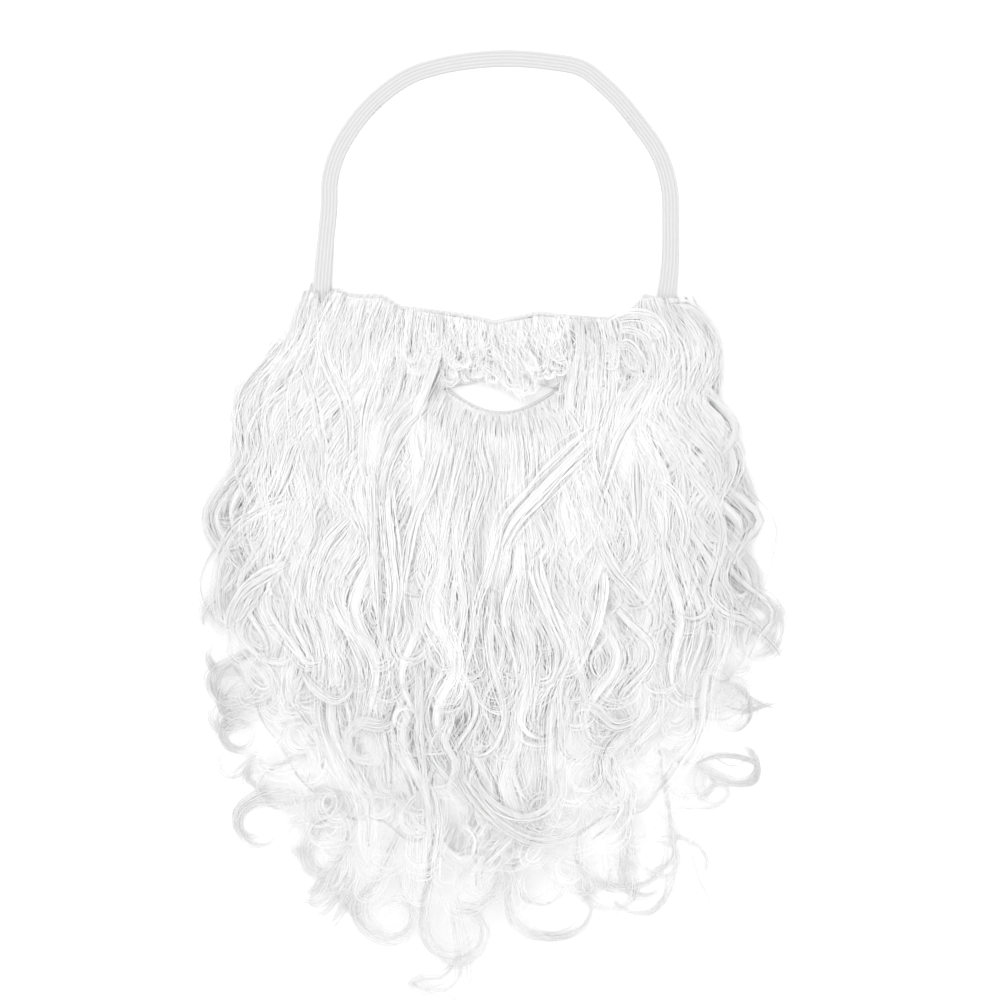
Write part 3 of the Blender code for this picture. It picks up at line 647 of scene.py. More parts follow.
def cheek_locks(rng):
    """Short roots along the top hem at both cheeks and beside the mouth."""
    locks = []
    for x in np.concatenate([np.linspace(-90, -40, 26), np.linspace(52, 90, 20)]):
        x = float(x + rng.uniform(-1, 1))
        y = float(np.interp(x, HEM_X, HEM_Y)) - rng.uniform(0.4, 2.0)
        heading = 268.0 + 0.16 * x + rng.uniform(-14, 14)
        locks.append(curl_lock(
            x, y, heading, rng.uniform(14, 34), 60.0, 50.0, float(rng.uniform(-26, 26)),
            rng.uniform(4.5, 7.5), 1.06, 0.0, 6.4,
        ))
    return locks


def lip_fuzz(rng):
    """Small frizzy curls between the top hem and the mouth, and the roots they grow from."""
    curls, roots = [], []
    for x in np.linspace(-56.0, 66.0, 62):
        x = float(x + rng.uniform(-0.8, 0.8))
        y = float(np.interp(x, HEM_X, HEM_Y)) - rng.uniform(0.4, 2.4)
        heading = 270.0 + 0.22 * x + rng.uniform(-16, 16)
        roots.append(curl_lock(
            x, y, heading, rng.uniform(8, 17), 30.0, 20.0, float(rng.uniform(-50, 50)),
            rng.uniform(2.6, 4.4), 0.2, 0.0, 6.6,
        ))
    for x, y in zip(rng.uniform(-60.0, 78.0, 130), rng.uniform(34.0, 66.0, 130)):
        top = float(np.interp(x, HEM_X, HEM_Y)) - 7.0
        curls.append(curl_lock(
            float(x), min(float(y), top), 270.0 + 0.5 * x + rng.uniform(-40, 40), rng.uniform(3, 10),
            rng.uniform(3.6, 7.5), rng.uniform(2.0, 3.4), either_way(rng, 60, 330),
            rng.uniform(3.0, 6.0), rng.uniform(1.0, 1.12), 0.0, rng.uniform(6.5, 9.5),
        ))
    return curls, roots


def fringe_locks(rng):
    """Short hair that hangs over the upper edge of the mouth."""
    locks = []
    edge_across, edge_down = np.array(FRINGE_EDGE, dtype=float).T
    for across in np.linspace(440.0, 562.0, 52):
        down = float(np.interp(across, edge_across, edge_down)) - rng.uniform(0.3, 2.0)
        rise = rng.uniform(14.0, 34.0)
        lean = rng.uniform(-9.0, 5.0)
        places = ((across + lean, down - rise), (across + 0.7 * lean, down - 0.55 * rise), (across, down))
        locks.append(traced_lock(rng.uniform(2.4, 4.2), 0.2, 0.5, *places, least=rng.uniform(4.5, 7.5)))
    return locks


# Single stray strands and thin wisps: number of strands, then their way over the table
STRAYS = (
    (3, (112, -8), (137, -26), (154, -48), (152, -67), (144, -90)),
    (5, (131, -138), (139, -144), (150, -150), (159, -152)),
    (4, (108, -232), (112, -246), (118, -258), (119, -269)),
    (4, (94, -244), (90, -258), (82, -267), (73, -272)),
    (3, (-128, 30), (-142, 16), (-150, -2), (-148, -20)),
    (3, (-150, -52), (-163, -66), (-168, -84), (-162, -100)),
    (3, (126, 10), (132, 0), (131, -14), (126, -24)),
    (3, (-60, -262), (-66, -270), (-64, -279), (-56, -282)),
    (3, (60, -250), (66, -262), (60, -272), (50, -274)),
    (3, (118, -176), (130, -182), (138, -178), (142, -170)),
    (3, (-112, 62), (-120, 50), (-130, 40), (-136, 26)),
    (2, (-134, -176), (-146, -184), (-148, -196), (-140, -202)),
)


def stray_paths(rng):
    """Paths of the stray strands, each a little apart from the route that its group follows."""
    paths = []
    for number, *places in STRAYS:
        route = smooth_route(np.array(places, dtype=float), STRAND_POINTS)
        for _ in range(number):
            start, spread = rng.uniform(-1.0, 1.0, 2), rng.uniform(-2, 2, 2)
            flat = route + (start[None] + np.linspace(0, 1, STRAND_POINTS)[:, None] * spread)
            z = np.maximum(surface(flat[:, 0], flat[:, 1]) * 0.9, 0.5 + rng.uniform(0.0, 1.5))
            paths.append(np.column_stack([flat, z]))
    return np.array(paths)


# Tubes: strands, lock bodies and hems share one builder

def frames_of(paths):
    """Tangent, side and up vectors along paths of shape (count, points, 3)."""
    tangent = np.gradient(paths, axis=1)
    tangent /= np.linalg.norm(tangent, axis=2, keepdims=True) + 1e-9
    side = np.cross(tangent, np.array([0.0, 0.0, 1.0]))
    side /= np.linalg.norm(side, axis=2, keepdims=True) + 1e-9
    return tangent, side, np.cross(side, tangent)


def tube_mesh(name, paths, across, thick, sides, tones, strips=TONE_STRIPS, first_turn=0.5 * math.pi):
    """Closed tubes in one mesh, the first corner upward unless turned.

    tones is the colour place of each tube, kept in the map's first axis as one of so many strips.
    """
    count, points, _ = paths.shape
    _, side, up = frames_of(paths)
    angles = 2 * math.pi * np.arange(sides) / sides + first_turn
    ring = np.stack([np.cos(angles), np.sin(angles)])
    verts = (
        paths[:, :, None, :]
        + side[:, :, None, :] * (across[:, :, None] * ring[0])[..., None]
        + up[:, :, None, :] * (thick[:, :, None] * ring[1])[..., None]
    )
    verts = verts.reshape(-1, 3) * MM
    base = (np.arange(count) * points * sides)[:, None, None]
    row = (np.arange(points - 1) * sides)[None, :, None]
    here = np.arange(sides)[None, None, :]
    after = (here + 1) % sides
    start = base + row
    corners = [start + here, start + sides + here, start + sides + after, start + after]
    quads = np.stack(corners, axis=-1).reshape(-1, 4)
    corner = np.arange(sides)[None]
    first = (base[:, 0] + corner).reshape(-1, sides)
    last = (base[:, 0] + (points - 1) * sides + corner[:, ::-1]).reshape(-1, sides)
    loops = np.concatenate([quads.ravel(), first.ravel(), last.ravel()])
    totals = np.concatenate([np.full(len(quads), 4), np.full(2 * count, sides)])
    mesh = bpy.data.meshes.new(name)
    mesh.vertices.add(len(verts))
    mesh.vertices.foreach_set("co", verts.ravel())
    mesh.loops.add(len(loops))
    mesh.loops.foreach_set("vertex_index", loops)
    mesh.polygons.add(len(totals))
    mesh.polygons.foreach_set("loop_start", np.concatenate(([0], np.cumsum(totals)[:-1])))
    mesh.update(calc_edges=True)
    mesh.validate()
    tube = loops // (points * sides)
    along = (loops // sides) % points / (points - 1)
    turned = (loops % sides) / sides
    place = np.stack([(np.floor(tones[tube] * strips) + 0.05 + 0.9 * turned) / strips, along], axis=1)
    mesh.uv_layers.new(name=TONE_MAP).data.foreach_set("uv", place.ravel())
    mesh.shade_smooth()
    return mesh


def piece(name, mesh, material, slot, *nodes):
    """Put a finished mesh in the scene as a piece of the part."""
    made = bpy.data.objects.new(name, mesh)
    bpy.context.scene.collection.objects.link(made)
    mesh.materials.append(material)
    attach(made, "root")
    if nodes:
        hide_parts(*nodes)
    return made


def outward(work):
    bmesh.ops.recalc_face_normals(work, faces=work.faces)


def in_fixed_order(work):
    """Sort the faces by their lowest three points, as the fill gives them another order each run."""
    work.verts.index_update()
    many = len(work.verts)

    def rank(face):
        first, second, third = sorted(vert.index for vert in face.verts)[:3]
        return float((first * many + second) * many + third)

    work.faces.sort(key=rank)


def finished(work, name):
    """New mesh from an edited one."""
    mesh = bpy.data.meshes.new(name)
    work.to_mesh(mesh)
    work.free()
    return mesh


# Strands

STRAND_POINTS = 20
STRAND_FLATNESS = 0.36
TONE_SPREAD = 0.09
LOWEST_STRAND = 0.4
# Room that strands leave inside the mouth's edge
LIP_MARGIN = 0.8
FRINGE_MARGIN = 0.4


def strands_of(
    lock, count, rng, clumps=5, crimp=1.0, period=34.0, frizz=0.0, loose=0.12, shortest=0.70,
    points=STRAND_POINTS, drawn=(0.0, 0.12), around=(0.55, 1.12),
):
    """Strands that follow a lock, drawn into wisps towards its tip.

    clumps is the number of wisps, and drawn how far strands go into them at the root, and more by the tip.
    crimp and period are the size and length of a strand's own wave, and frizz the size of a much tighter one.
    loose is the share of strands outside the lock, around the reach of the rest in shares of its width, and
    shortest the length of the shortest strand in shares of the lock.
    """
    path, half = lock
    _, side, up = frames_of(path[None])
    side, up = side[0], up[0]
    run_along = run_of(path)
    angle = rng.uniform(-0.25 * math.pi, 1.25 * math.pi, count)
    reach = rng.uniform(*around, count)
    reach = np.where(rng.uniform(size=count) < loose, rng.uniform(1.15, 1.7, count), reach)
    a, b = reach * np.cos(angle), reach * np.sin(angle)
    wisp_angle = rng.uniform(-0.1 * math.pi, 1.1 * math.pi, clumps)
    wisp_a, wisp_b = 0.75 * np.cos(wisp_angle), 0.75 * np.sin(wisp_angle)
    nearest = np.argmin((a[:, None] - wisp_a[None]) ** 2 + (b[:, None] - wisp_b[None]) ** 2, axis=1)
    start = rng.uniform(0.0, 0.08, count)
    stop = rng.uniform(shortest, 1.0, count)
    t = start[:, None] + (stop - start)[:, None] * np.linspace(0.0, 1.0, points)[None]
    grid = np.linspace(0.0, 1.0, len(path))

    def pick(column):
        return np.interp(t, grid, column)

    centre = np.stack([pick(path[:, k]) for k in range(3)], axis=2)
    sides = np.stack([pick(side[:, k]) for k in range(3)], axis=2)
    ups = np.stack([pick(up[:, k]) for k in range(3)], axis=2)
    width = pick(half)
    pull = drawn[0] + drawn[1] * t
    drawn_a = a[:, None] * (1 - pull) + wisp_a[nearest][:, None] * pull
    drawn_b = b[:, None] * (1 - pull) + wisp_b[nearest][:, None] * pull
    run = pick(run_along)
    phase = rng.uniform(0, 2 * math.pi, (4, count, 1))
    long_wave = period * rng.uniform(0.7, 1.5, (count, 1))
    grown = np.minimum(run / 18.0, 1.0)
    sway = crimp * grown * np.sin(2 * math.pi * run / long_wave + phase[0])
    lift = 0.25 * crimp * grown * np.sin(2 * math.pi * run / (1.3 * long_wave) + phase[1])
    if frizz:
        tight = rng.uniform(6.0, 11.0, (count, 1))
        sway = sway + frizz * np.minimum(run / 6.0, 1.0) * np.sin(2 * math.pi * run / tight + phase[2])
        lift = lift + 0.6 * frizz * np.minimum(run / 6.0, 1.0) * np.sin(2 * math.pi * run / tight + phase[3])
    paths = (
        centre
        + sides * (drawn_a * width + sway)[..., None]
        + ups * (drawn_b * width * LOCK_FLATNESS + lift)[..., None]
    )
    paths[..., 2] = np.maximum(paths[..., 2], LOWEST_STRAND)
    return paths


def stopped(paths, crossing):
    """Strands that end where they would first cross, and whether each is long enough to keep."""
    points = paths.shape[1]
    keep = np.ones(len(paths), dtype=bool)
    for index in np.flatnonzero(crossing.any(axis=1)):
        first = int(np.argmax(crossing[index]))
        keep[index] = first > 3
        if keep[index]:
            spots = np.linspace(0.0, first - 1.0, points)
            whole = np.arange(points)
            paths[index] = np.stack([np.interp(spots, whole, paths[index, :, k]) for k in range(3)], axis=1)
    return paths, keep


def bundle(lock, count, rng, tone=None, over_mouth=False, **how):
    """Strands of one lock and the tone of each; none stands above the hem or crosses the mouth.

    over_mouth is for hair that hangs over the mouth's upper edge, down to the edge of the fringe.
    """
    paths = strands_of(lock, count, rng, **how)
    tone = rng.uniform(0.15, 0.85) if tone is None else tone
    tones = np.clip(tone + rng.normal(0.0, TONE_SPREAD, count), 0.0, 0.93)
    x, y = paths[..., 0], paths[..., 1]
    crossing = in_gap(x, y, FRINGE_MARGIN) if over_mouth else in_mouth(x, y, LIP_MARGIN)
    paths, keep = stopped(paths, crossing)
    keep &= ~over_hem(paths[..., 0], paths[..., 1], rng.uniform(0.1, 1.3, (count, 1))).any(axis=1)
    return paths[keep], tones[keep]


def strand_piece(name, parts, thickness, rng, material, *nodes):
    """Join bundles of strands into one piece; thickness is the least and the most."""
    paths = np.concatenate([paths for paths, _ in parts])
    tones = np.concatenate([tones for _, tones in parts])
    count, points, _ = paths.shape
    along = np.linspace(0.0, 1.0, points)[None]
    radius = 0.5 * rng.uniform(*thickness, (count, 1)) * np.minimum(0.6 + 5 * along, 1.0)
    radius = radius * np.maximum(1 - along ** 6, 0.25)
    mesh = tube_mesh(name, paths, radius, STRAND_FLATNESS * radius, 3, tones)
    mesh.shade_flat()
    return piece(name, mesh, material, "white_hair", *nodes)


BODY_POINTS = 26
BODY_SHARE = 0.42
# Share of a lock after which only its strands go on
BODY_END = 0.80
BODY_SIDES = 6
BODY_STRIPS = 8


def lock_bodies(name, locks, tones, material, *nodes):
    """Matted middle of each lock below its strands; it narrows beside the mouth and the top hem."""
    picked = np.linspace(0, BODY_END * (LOCK_POINTS - 1), BODY_POINTS).astype(int)
    paths = np.array([path[picked] for path, _ in locks])
    along = np.linspace(0.0, 1.0, BODY_POINTS)
    ends = np.sqrt(np.clip(np.minimum(along / 0.10, (1 - along) / 0.30), 0.02, 1.0))
    across = BODY_SHARE * np.array([half[picked] for _, half in locks]) * ends
    _, side, _ = frames_of(paths)
    near = np.zeros(across.shape, dtype=bool)
    for way in (-1.0, 0.0, 1.0):
        edge = paths[..., :2] + way * side[..., :2] * across[..., None]
        near |= in_mouth(edge[..., 0], edge[..., 1], 1.5) | over_hem(edge[..., 0], edge[..., 1], -0.6)
    across = across * np.where(near, 0.25, 1.0)
    across[:, 1:-1] = (across[:, :-2] + across[:, 1:-1] + across[:, 2:]) / 3
    mesh = tube_mesh(
        name, paths, across, 0.8 * LOCK_FLATNESS * across, BODY_SIDES, np.asarray(tones),
        strips=BODY_STRIPS, first_turn=-0.5 * math.pi,
    )
    return piece(name, mesh, material, "white_hair", *nodes)


# Materials

# Size of the patches of painted highlight
HIGHLIGHT_PATCH_SCALE = 38.0


def stretched_out(value, contrast):
    """More contrast about the middle, kept between 0 and 1."""
    return ((value - 0.5) * contrast + 0.5).clamped()


class Signal:
    """A socket of a material, with arithmetic."""

    def __init__(self, material, socket):
        self.material, self.socket = material, socket

    def _math(self, operation, *values):
        return self.material.node("ShaderNodeMath", {"operation": operation}, *values)

    def __add__(self, other):
        return self._math("ADD", self, other)

    def __sub__(self, other):
        return self._math("SUBTRACT", self, other)

    def __rsub__(self, other):
        return self._math("SUBTRACT", other, self)

    def __mul__(self, other):
        return self._math("MULTIPLY", self, other)

    __radd__ = __add__
    __rmul__ = __mul__

    def sine(self):
        return self._math("SINE", self)

    def floor(self):
        return self._math("FLOOR", self)

    def clamped(self):
        return self.material.node("ShaderNodeClamp", {}, self, 0.0, 1.0)


class Finish:
    """A material under construction."""

    def __init__(self, name, roughness, **uniform):
        self.material = bpy.data.materials.new(name)
        self.material.use_nodes = True
        self.tree = self.material.node_tree
        self.shader = self.tree.nodes["Principled BSDF"]
        self.shader.inputs["Roughness"].default_value = roughness
        for key, value in uniform.items():
            self.shader.inputs[key.replace("_", " ")].default_value = value

    def join(self, value, socket):
        if isinstance(value, Signal):
            self.tree.links.new(value.socket, socket)
        else:
            socket.default_value = value

    def node(self, kind, settings, *values, output=0, **named):
        made = self.tree.nodes.new(kind)
        for key, value in settings.items():
            setattr(made, key, value)
        for socket, value in zip(made.inputs, values):
            self.join(value, socket)
        for key, value in named.items():
            self.join(value, made.inputs[key.replace("_", " ")])
        return Signal(self, made.outputs[output])

    def blend(self, factor, first, second):
        made = self.tree.nodes.new("ShaderNodeMix")
        made.data_type = "RGBA"
        for value, socket in ((factor, made.inputs[0]), (first, made.inputs[6]), (second, made.inputs[7])):
            self.join(value, socket)
        return Signal(self, made.outputs[2])

    def split(self, vector):
        made = self.tree.nodes.new("ShaderNodeSeparateXYZ")
        self.tree.links.new(vector.socket, made.inputs[0])
        return [Signal(self, out) for out in made.outputs]

    def feed(self, name, value):
        self.join(value, self.shader.inputs[name])

    def spot(self):
        """Place on the object, in metres."""
        return self.node("ShaderNodeTexCoord", {}, output=3)

    def on_map(self):
        """Both axes of the piece's own map."""
        return self.split(self.node("ShaderNodeUVMap", {"uv_map": TONE_MAP}))[:2]

    def noise(self, vector, scale, detail=2.0, **named):
        return self.node("ShaderNodeTexNoise", {}, Vector=vector, Scale=scale, Detail=detail, **named)

    def highlight_patches(self, contrast):
        """Soft patches a few locks wide: painted highlight, lighter where shiny fibre catches the light and
        greyer between.
        """
        return stretched_out(self.noise(self.spot(), HIGHLIGHT_PATCH_SCALE), contrast)

    def fibres(self, across, along, turn=0.0):
        """Fine lines along the second axis."""
        place = self.node("ShaderNodeCombineXYZ", {}, across, along, turn)
        return stretched_out(self.noise(place, 1.0, 3.0, Roughness=0.6), 3.0)

    def bump(self, height, strength, distance):
        made = self.node("ShaderNodeBump", {}, Strength=strength, Distance=distance, Height=height)
        self.feed("Normal", made)


def grey(value):
    return (value, value, value, 1.0)


def strand_finish(name, dark, light, roughness):
    """White synthetic fibre: each strand has its own tone, and patches a few locks wide are a little brighter
    with painted highlight.

    Roots, the lowest curls and both sides of the mass are a little darker with painted shade, and so show
    against the table.
    """
    finish = Finish(name, roughness, Sheen_Weight=0.15, Specular_IOR_Level=0.45)
    strip, along = finish.on_map()
    spread = (strip * float(TONE_STRIPS)).floor() * (1 / 60)
    # Painted highlight in lighter patches, which also vary the roughness
    highlight_patch = finish.highlight_patches(2.4)
    mix = spread * 0.55 + highlight_patch * 0.45
    # Painted shade: darker at the roots, where strands come out from under the hair, towards the bottom, and
    # towards both sides of the mass
    root = (1.0 - along * 7.0).clamped() * 0.25
    across, down, _ = finish.split(finish.spot())
    low = ((-0.120 - down) * 10.0).clamped() * 0.06
    aside = across + 0.010
    side = ((aside * aside - 0.0140) * 120.0).clamped() * 0.40
    shaded = (root + low + side).clamped()
    tone = finish.blend(mix, grey(dark), grey(light))
    finish.feed("Base Color", finish.blend(shaded, tone, grey(0.72 * dark)))
    finish.feed("Roughness", roughness + 0.16 * highlight_patch)
    return finish.material


def under_finish(name, dark, light):
    """Matted fibre: fine lines that follow the waves, on the piece's own map, with patches of painted
    highlight; painted shade darkens it towards the bottom, and it pales towards its rim.
    """
    finish = Finish(name, 0.7, Sheen_Weight=0.2, Specular_IOR_Level=0.25)
    across, down = finish.on_map()
    bend = finish.noise(finish.spot(), 30.0)
    lines = finish.fibres(across * 300.0 + bend * 18.0, down * 9.0)
    mix = lines * 0.60 + finish.highlight_patches(2.2) * 0.40
    _, level, _ = finish.split(finish.spot())
    # Painted shade, darker towards the bottom of the mass
    low = ((-0.070 - level) * 12.0).clamped() * 0.20
    aside = across - 0.5
    rim = (((0.20 - down) * 6.0).clamped() + ((aside * aside - 0.17) * 30.0).clamped()).clamped() * 0.85
    shaded = finish.blend(low, finish.blend(mix, grey(dark), grey(light)), grey(0.85 * dark))
    finish.feed("Base Color", finish.blend(rim, shaded, grey(0.98)))
    finish.bump(lines, 0.8, 0.0005)
    return finish.material


def body_finish(name, dark, light):
    """Combed fibre of a lock: fine lines along it, its own tone, patches of painted highlight, and a pale tip
    of painted light that lifts the shade on the thin end of the body.
    """
    finish = Finish(name, 0.6, Sheen_Weight=0.2, Specular_IOR_Level=0.35)
    across, along = finish.on_map()
    strip = (across * float(BODY_STRIPS)).floor()
    bend = finish.noise(finish.spot(), 40.0)
    lines = finish.fibres(across * (24.0 * BODY_STRIPS) + bend * 5.0, along * 8.0, strip * 7.0)
    mix = lines * 0.50 + finish.highlight_patches(2.2) * 0.30 + strip * (0.20 / BODY_STRIPS)
    # Painted light: the end of the body pales, lifting the shade on its thin end
    tip = ((along - 0.70) * 4.0).clamped()
    finish.feed("Base Color", finish.blend(tip, finish.blend(mix, grey(dark), grey(light)), grey(0.98)))
    finish.bump(lines, 0.8, 0.0005)
    return finish.material


def cloth_finish(name, dark, light, threads):
    """Plain weave on object coordinates; threads is the count for each metre."""
    finish = Finish(name, 0.9, Sheen_Weight=0.3, Specular_IOR_Level=0.25)
    across, along, _ = finish.split(finish.spot())
    weave = (across * (2 * math.pi * threads)).sine() * (along * (2 * math.pi * threads)).sine()
    weave = weave * 0.5 + 0.5
    finish.feed("Base Color", finish.blend(weave, grey(dark), grey(light)))
    finish.bump(weave, 0.5, 0.0003)
    return finish.material


def elastic_finish(name, dark, light):
    """Ribbed elastic: fine cross threads between lengthwise ribs, on the band's own map."""
    finish = Finish(name, 0.75, Sheen_Weight=0.2, Specular_IOR_Level=0.3)
    across, along = finish.on_map()
    ribs = (across * (2 * math.pi * STRAP_RIBS)).sine() * 0.5 + 0.5
    picks = (along * (2 * math.pi * STRAP_PICKS)).sine() * 0.5 + 0.5
    streaks = finish.noise(finish.node("ShaderNodeCombineXYZ", {}, across * 30.0, along * 60.0, 0.0), 1.0)
    mix = ribs * 0.45 + picks * 0.20 + streaks * 0.45
    finish.feed("Base Color", finish.blend(mix.clamped(), grey(dark), grey(light)))
    finish.bump(ribs * 0.6 + picks * 0.4, 0.6, 0.0003)
    return finish.material


# The undercoat, the cloth and the strap

COAT_TOP = 80.0
COAT_LENGTH = 308.0
# Height of the undercoat in shares of the mass, what the curly half lacks, and where that starts
COAT_RIDE = 0.985
COAT_LACK = 0.095
CURLY_LEVEL = -55.0
CURLY_BLEND = 80.0
COAT_LEAST = 1.9
# Opening of the undercoat: cut this far outside the mouth, then drawn in to this margin
COAT_CUT = 2.6
COAT_MARGIN = 1.4
# Levels above and below the mouth's corners that its rim can reach
MOUTH_REACH = 24.0
# Height of the rim's lower edge over the table, beside the mouth and elsewhere, and how far the first goes
RIM_BY_MOUTH = 1.3
RIM_HEIGHT = 0.2
RIM_REACH = 0.7 * MOUTH_WIDTH


def coat_height(across, level, share, down):
    """Undercoat over the table: just below the locks, with the soft ridges of matted wisps."""
    above = level > MOUTH_CORNER_LEVEL
    reach_x, reach_y = (52.0, 46.0) if above else (36.0, 17.0)
    edge = math.hypot((across - MOUTH_CENTRE) / reach_x, (level - MOUTH_CORNER_LEVEL) / reach_y)
    open_edge = min(max(1.1 * (edge - 0.70), 0.30), 1.0)
    sides = (1 - abs(share) ** 12) * (1 - max(0.0, (down - 0.86) / 0.14) ** 2)
    ridges = 0.8 * math.sin(22.0 * share + 1.4 * math.sin(0.040 * level))
    ridges += 0.5 * math.sin(41.0 * share + 1.8 * math.sin(0.055 * level + 2.0))
    below = min(max((CURLY_LEVEL - level) / CURLY_BLEND, 0.0), 1.0)
    top = (COAT_RIDE - COAT_LACK * below) * float(surface(across, level))
    return max((top + ridges * (1 + 0.5 * below)) * sides * open_edge, COAT_LEAST)


def under_coat(material):
    """Closed layer of matted fibre on the cloth and below the locks, open at the mouth."""
    work = bmesh.new()
    bmesh.ops.create_grid(work, x_segments=110, y_segments=140, size=1.0)
    flow = {}
    for vert in work.verts:
        down = 0.5 * (1 - vert.co.y)
        share = float(vert.co.x)
        level = COAT_TOP - (COAT_LENGTH - 24.0 * share ** 2 - 3.0 * math.sin(17.0 * share + 1.0)) * down
        left, right, _ = outline_at(level)
        half = 0.5 * (right - left) * (0.94 - 0.18 * max(0.0, (down - 0.70) / 0.30))
        half *= 1 + min(down / 0.3, 1.0) * 0.010 * math.sin(0.19 * level)
        across = 0.5 * (left + right) + half * share
        # The top edge follows the hem
        level += (float(np.interp(across, HEM_X, HEM_Y)) - 82.6) * max(0.0, 1 - down / 0.12)
        fallen = COAT_TOP - level
        sway = 6.0 * min(fallen / 60.0, 1.0) * math.sin(2 * math.pi * fallen / WAVE_LENGTH + 6.0 * share)
        flow[vert.index] = (0.5 + 0.46 * (share - sway / half), 1 - down)
        vert.co = (across * MM, level * MM, coat_height(across, level, share, down) * MM)
    layer = work.loops.layers.uv.new(TONE_MAP)
    for face in work.faces:
        for loop in face.loops:
            loop[layer].uv = flow[loop.vert.index]
    open_faces = [face for face in work.faces if over_mouth(face.calc_center_median())]
    bmesh.ops.delete(work, geom=open_faces, context="FACES")
    upper = set(work.faces)
    rim = [edge for edge in work.edges if edge.is_boundary]
    for vert in {vert for edge in rim for vert in edge.verts}:
        to_mouth_edge(vert)
    lower = bmesh.ops.extrude_edge_only(work, edges=rim)["geom"]
    for vert in (part for part in lower if isinstance(part, bmesh.types.BMVert)):
        apart = math.hypot(vert.co.x / MM - MOUTH_CENTRE, vert.co.y / MM - MOUTH_CORNER_LEVEL)
        vert.co.z = (RIM_BY_MOUTH if apart < RIM_REACH else RIM_HEIGHT) * MM
    bmesh.ops.triangle_fill(work, edges=[part for part in lower if isinstance(part, bmesh.types.BMEdge)])
    outward(work)
    for face in work.faces:
        face.smooth = face in upper
    in_fixed_order(work)
    piece("under_coat", finished(work, "under_coat"), material, "white_hair", "beard_hair")


def to_mouth_edge(vert):
    """Bring a point of the ragged opening onto a smooth edge round the mouth."""
    x, y = vert.co.x / MM, vert.co.y / MM
    part = (x - MOUTH_CENTRE) / (0.5 * MOUTH_WIDTH + COAT_CUT)
    if abs(part) > 1.0 or abs(y - MOUTH_CORNER_LEVEL) > MOUTH_REACH:
        return
    low, high = mouth_edges(part, COAT_MARGIN)
    vert.co.y = (low if y < MOUTH_CORNER_LEVEL else high) * MM


def over_mouth(place):
    return bool(in_mouth(place.x / MM, place.y / MM, COAT_CUT))


def flat_shape(name, loops, low, high):
    """Closed sheet between two heights, with holes, from a filled curve."""
    data = bpy.data.curves.new(name, "CURVE")
    data.dimensions = "2D"
    data.fill_mode = "BOTH"
    data.extrude = 0.5 * (high - low) * MM
    for loop in loops:
        spline = data.splines.new("POLY")
        spline.points.add(len(loop) - 1)
        for point, (x, y) in zip(spline.points, loop):
            point.co = (x * MM, y * MM, 0.0, 1.0)
        spline.use_cyclic_u = True
    holder = bpy.data.objects.new(name + "_curve", data)
    bpy.context.scene.collection.objects.link(holder)
    bpy.context.view_layer.update()
    mesh = bpy.data.meshes.new_from_object(holder.evaluated_get(bpy.context.evaluated_depsgraph_get()))
    bpy.data.objects.remove(holder)
    work = bmesh.new()
    work.from_mesh(mesh)
    bmesh.ops.remove_doubles(work, verts=work.verts, dist=1e-6)
    bmesh.ops.translate(work, verts=work.verts, vec=(0.0, 0.0, 0.5 * (low + high) * MM))
    outward(work)
    work.to_mesh(mesh)
    work.free()
    mesh.name = name
    return mesh


def cloth_outline():
    """Top edge of the cloth, and a round lower edge that starts a little below its ends."""
    low = TOP_EDGE[0][1] - 14.0
    half = 0.5 * (TOP_EDGE[-1][0] - TOP_EDGE[0][0]) + CLOTH_SIDE_FLARE
    middle = 0.5 * (TOP_EDGE[-1][0] + TOP_EDGE[0][0])
    turns = np.linspace(0.0, -math.pi, 60)
    bow = np.stack([middle + half * np.cos(turns), low + CLOTH_DEPTH * np.sin(turns)], axis=1)
    return np.vstack([np.array(TOP_EDGE), bow])


def rolled_hem(name, path, diameter, material, pitch):
    """Rolled edge, gathered by its stitches."""
    run = run_of(path)
    gather = 1 - 0.13 * np.abs(np.sin(math.pi * run / pitch)) ** 6
    radius = 0.5 * diameter * gather[None]
    radius[:, [0, -1]] *= 0.4
    mesh = tube_mesh(name, path[None], radius, 0.95 * radius, 10, np.array([0.5]))
    return piece(name, mesh, material, "backing_cloth")


def hem_stitches(name, path, diameter, material, pitch):
    """Short slanting threads sewn over a hem."""
    run = run_of(path)
    spots = np.arange(pitch, run[-1] - pitch, pitch)
    centre = np.stack([np.interp(spots, run, path[:, k]) for k in range(3)], axis=1)
    ahead = np.stack([np.interp(spots + 0.4, run, path[:, k]) for k in range(3)], axis=1) - centre
    ahead /= np.linalg.norm(ahead, axis=1, keepdims=True)
    side = np.cross(ahead, [0.0, 0.0, 1.0])
    turns = np.linspace(0.15 * math.pi, 0.95 * math.pi, 8)
    reach = 0.53 * diameter
    paths = (
        centre[:, None]
        + side[:, None] * (reach * np.cos(turns))[None, :, None]
        + np.array([0.0, 0.0, 1.0])[None, None] * (reach * np.sin(turns))[None, :, None]
        + ahead[:, None] * np.linspace(-0.5, 0.5, 8)[None, :, None]
    )
    radius = np.full(paths.shape[:2], 0.14)
    mesh = tube_mesh(name, paths, radius, radius, 5, np.full(len(paths), 0.3))
    return piece(name, mesh, material, "backing_cloth")


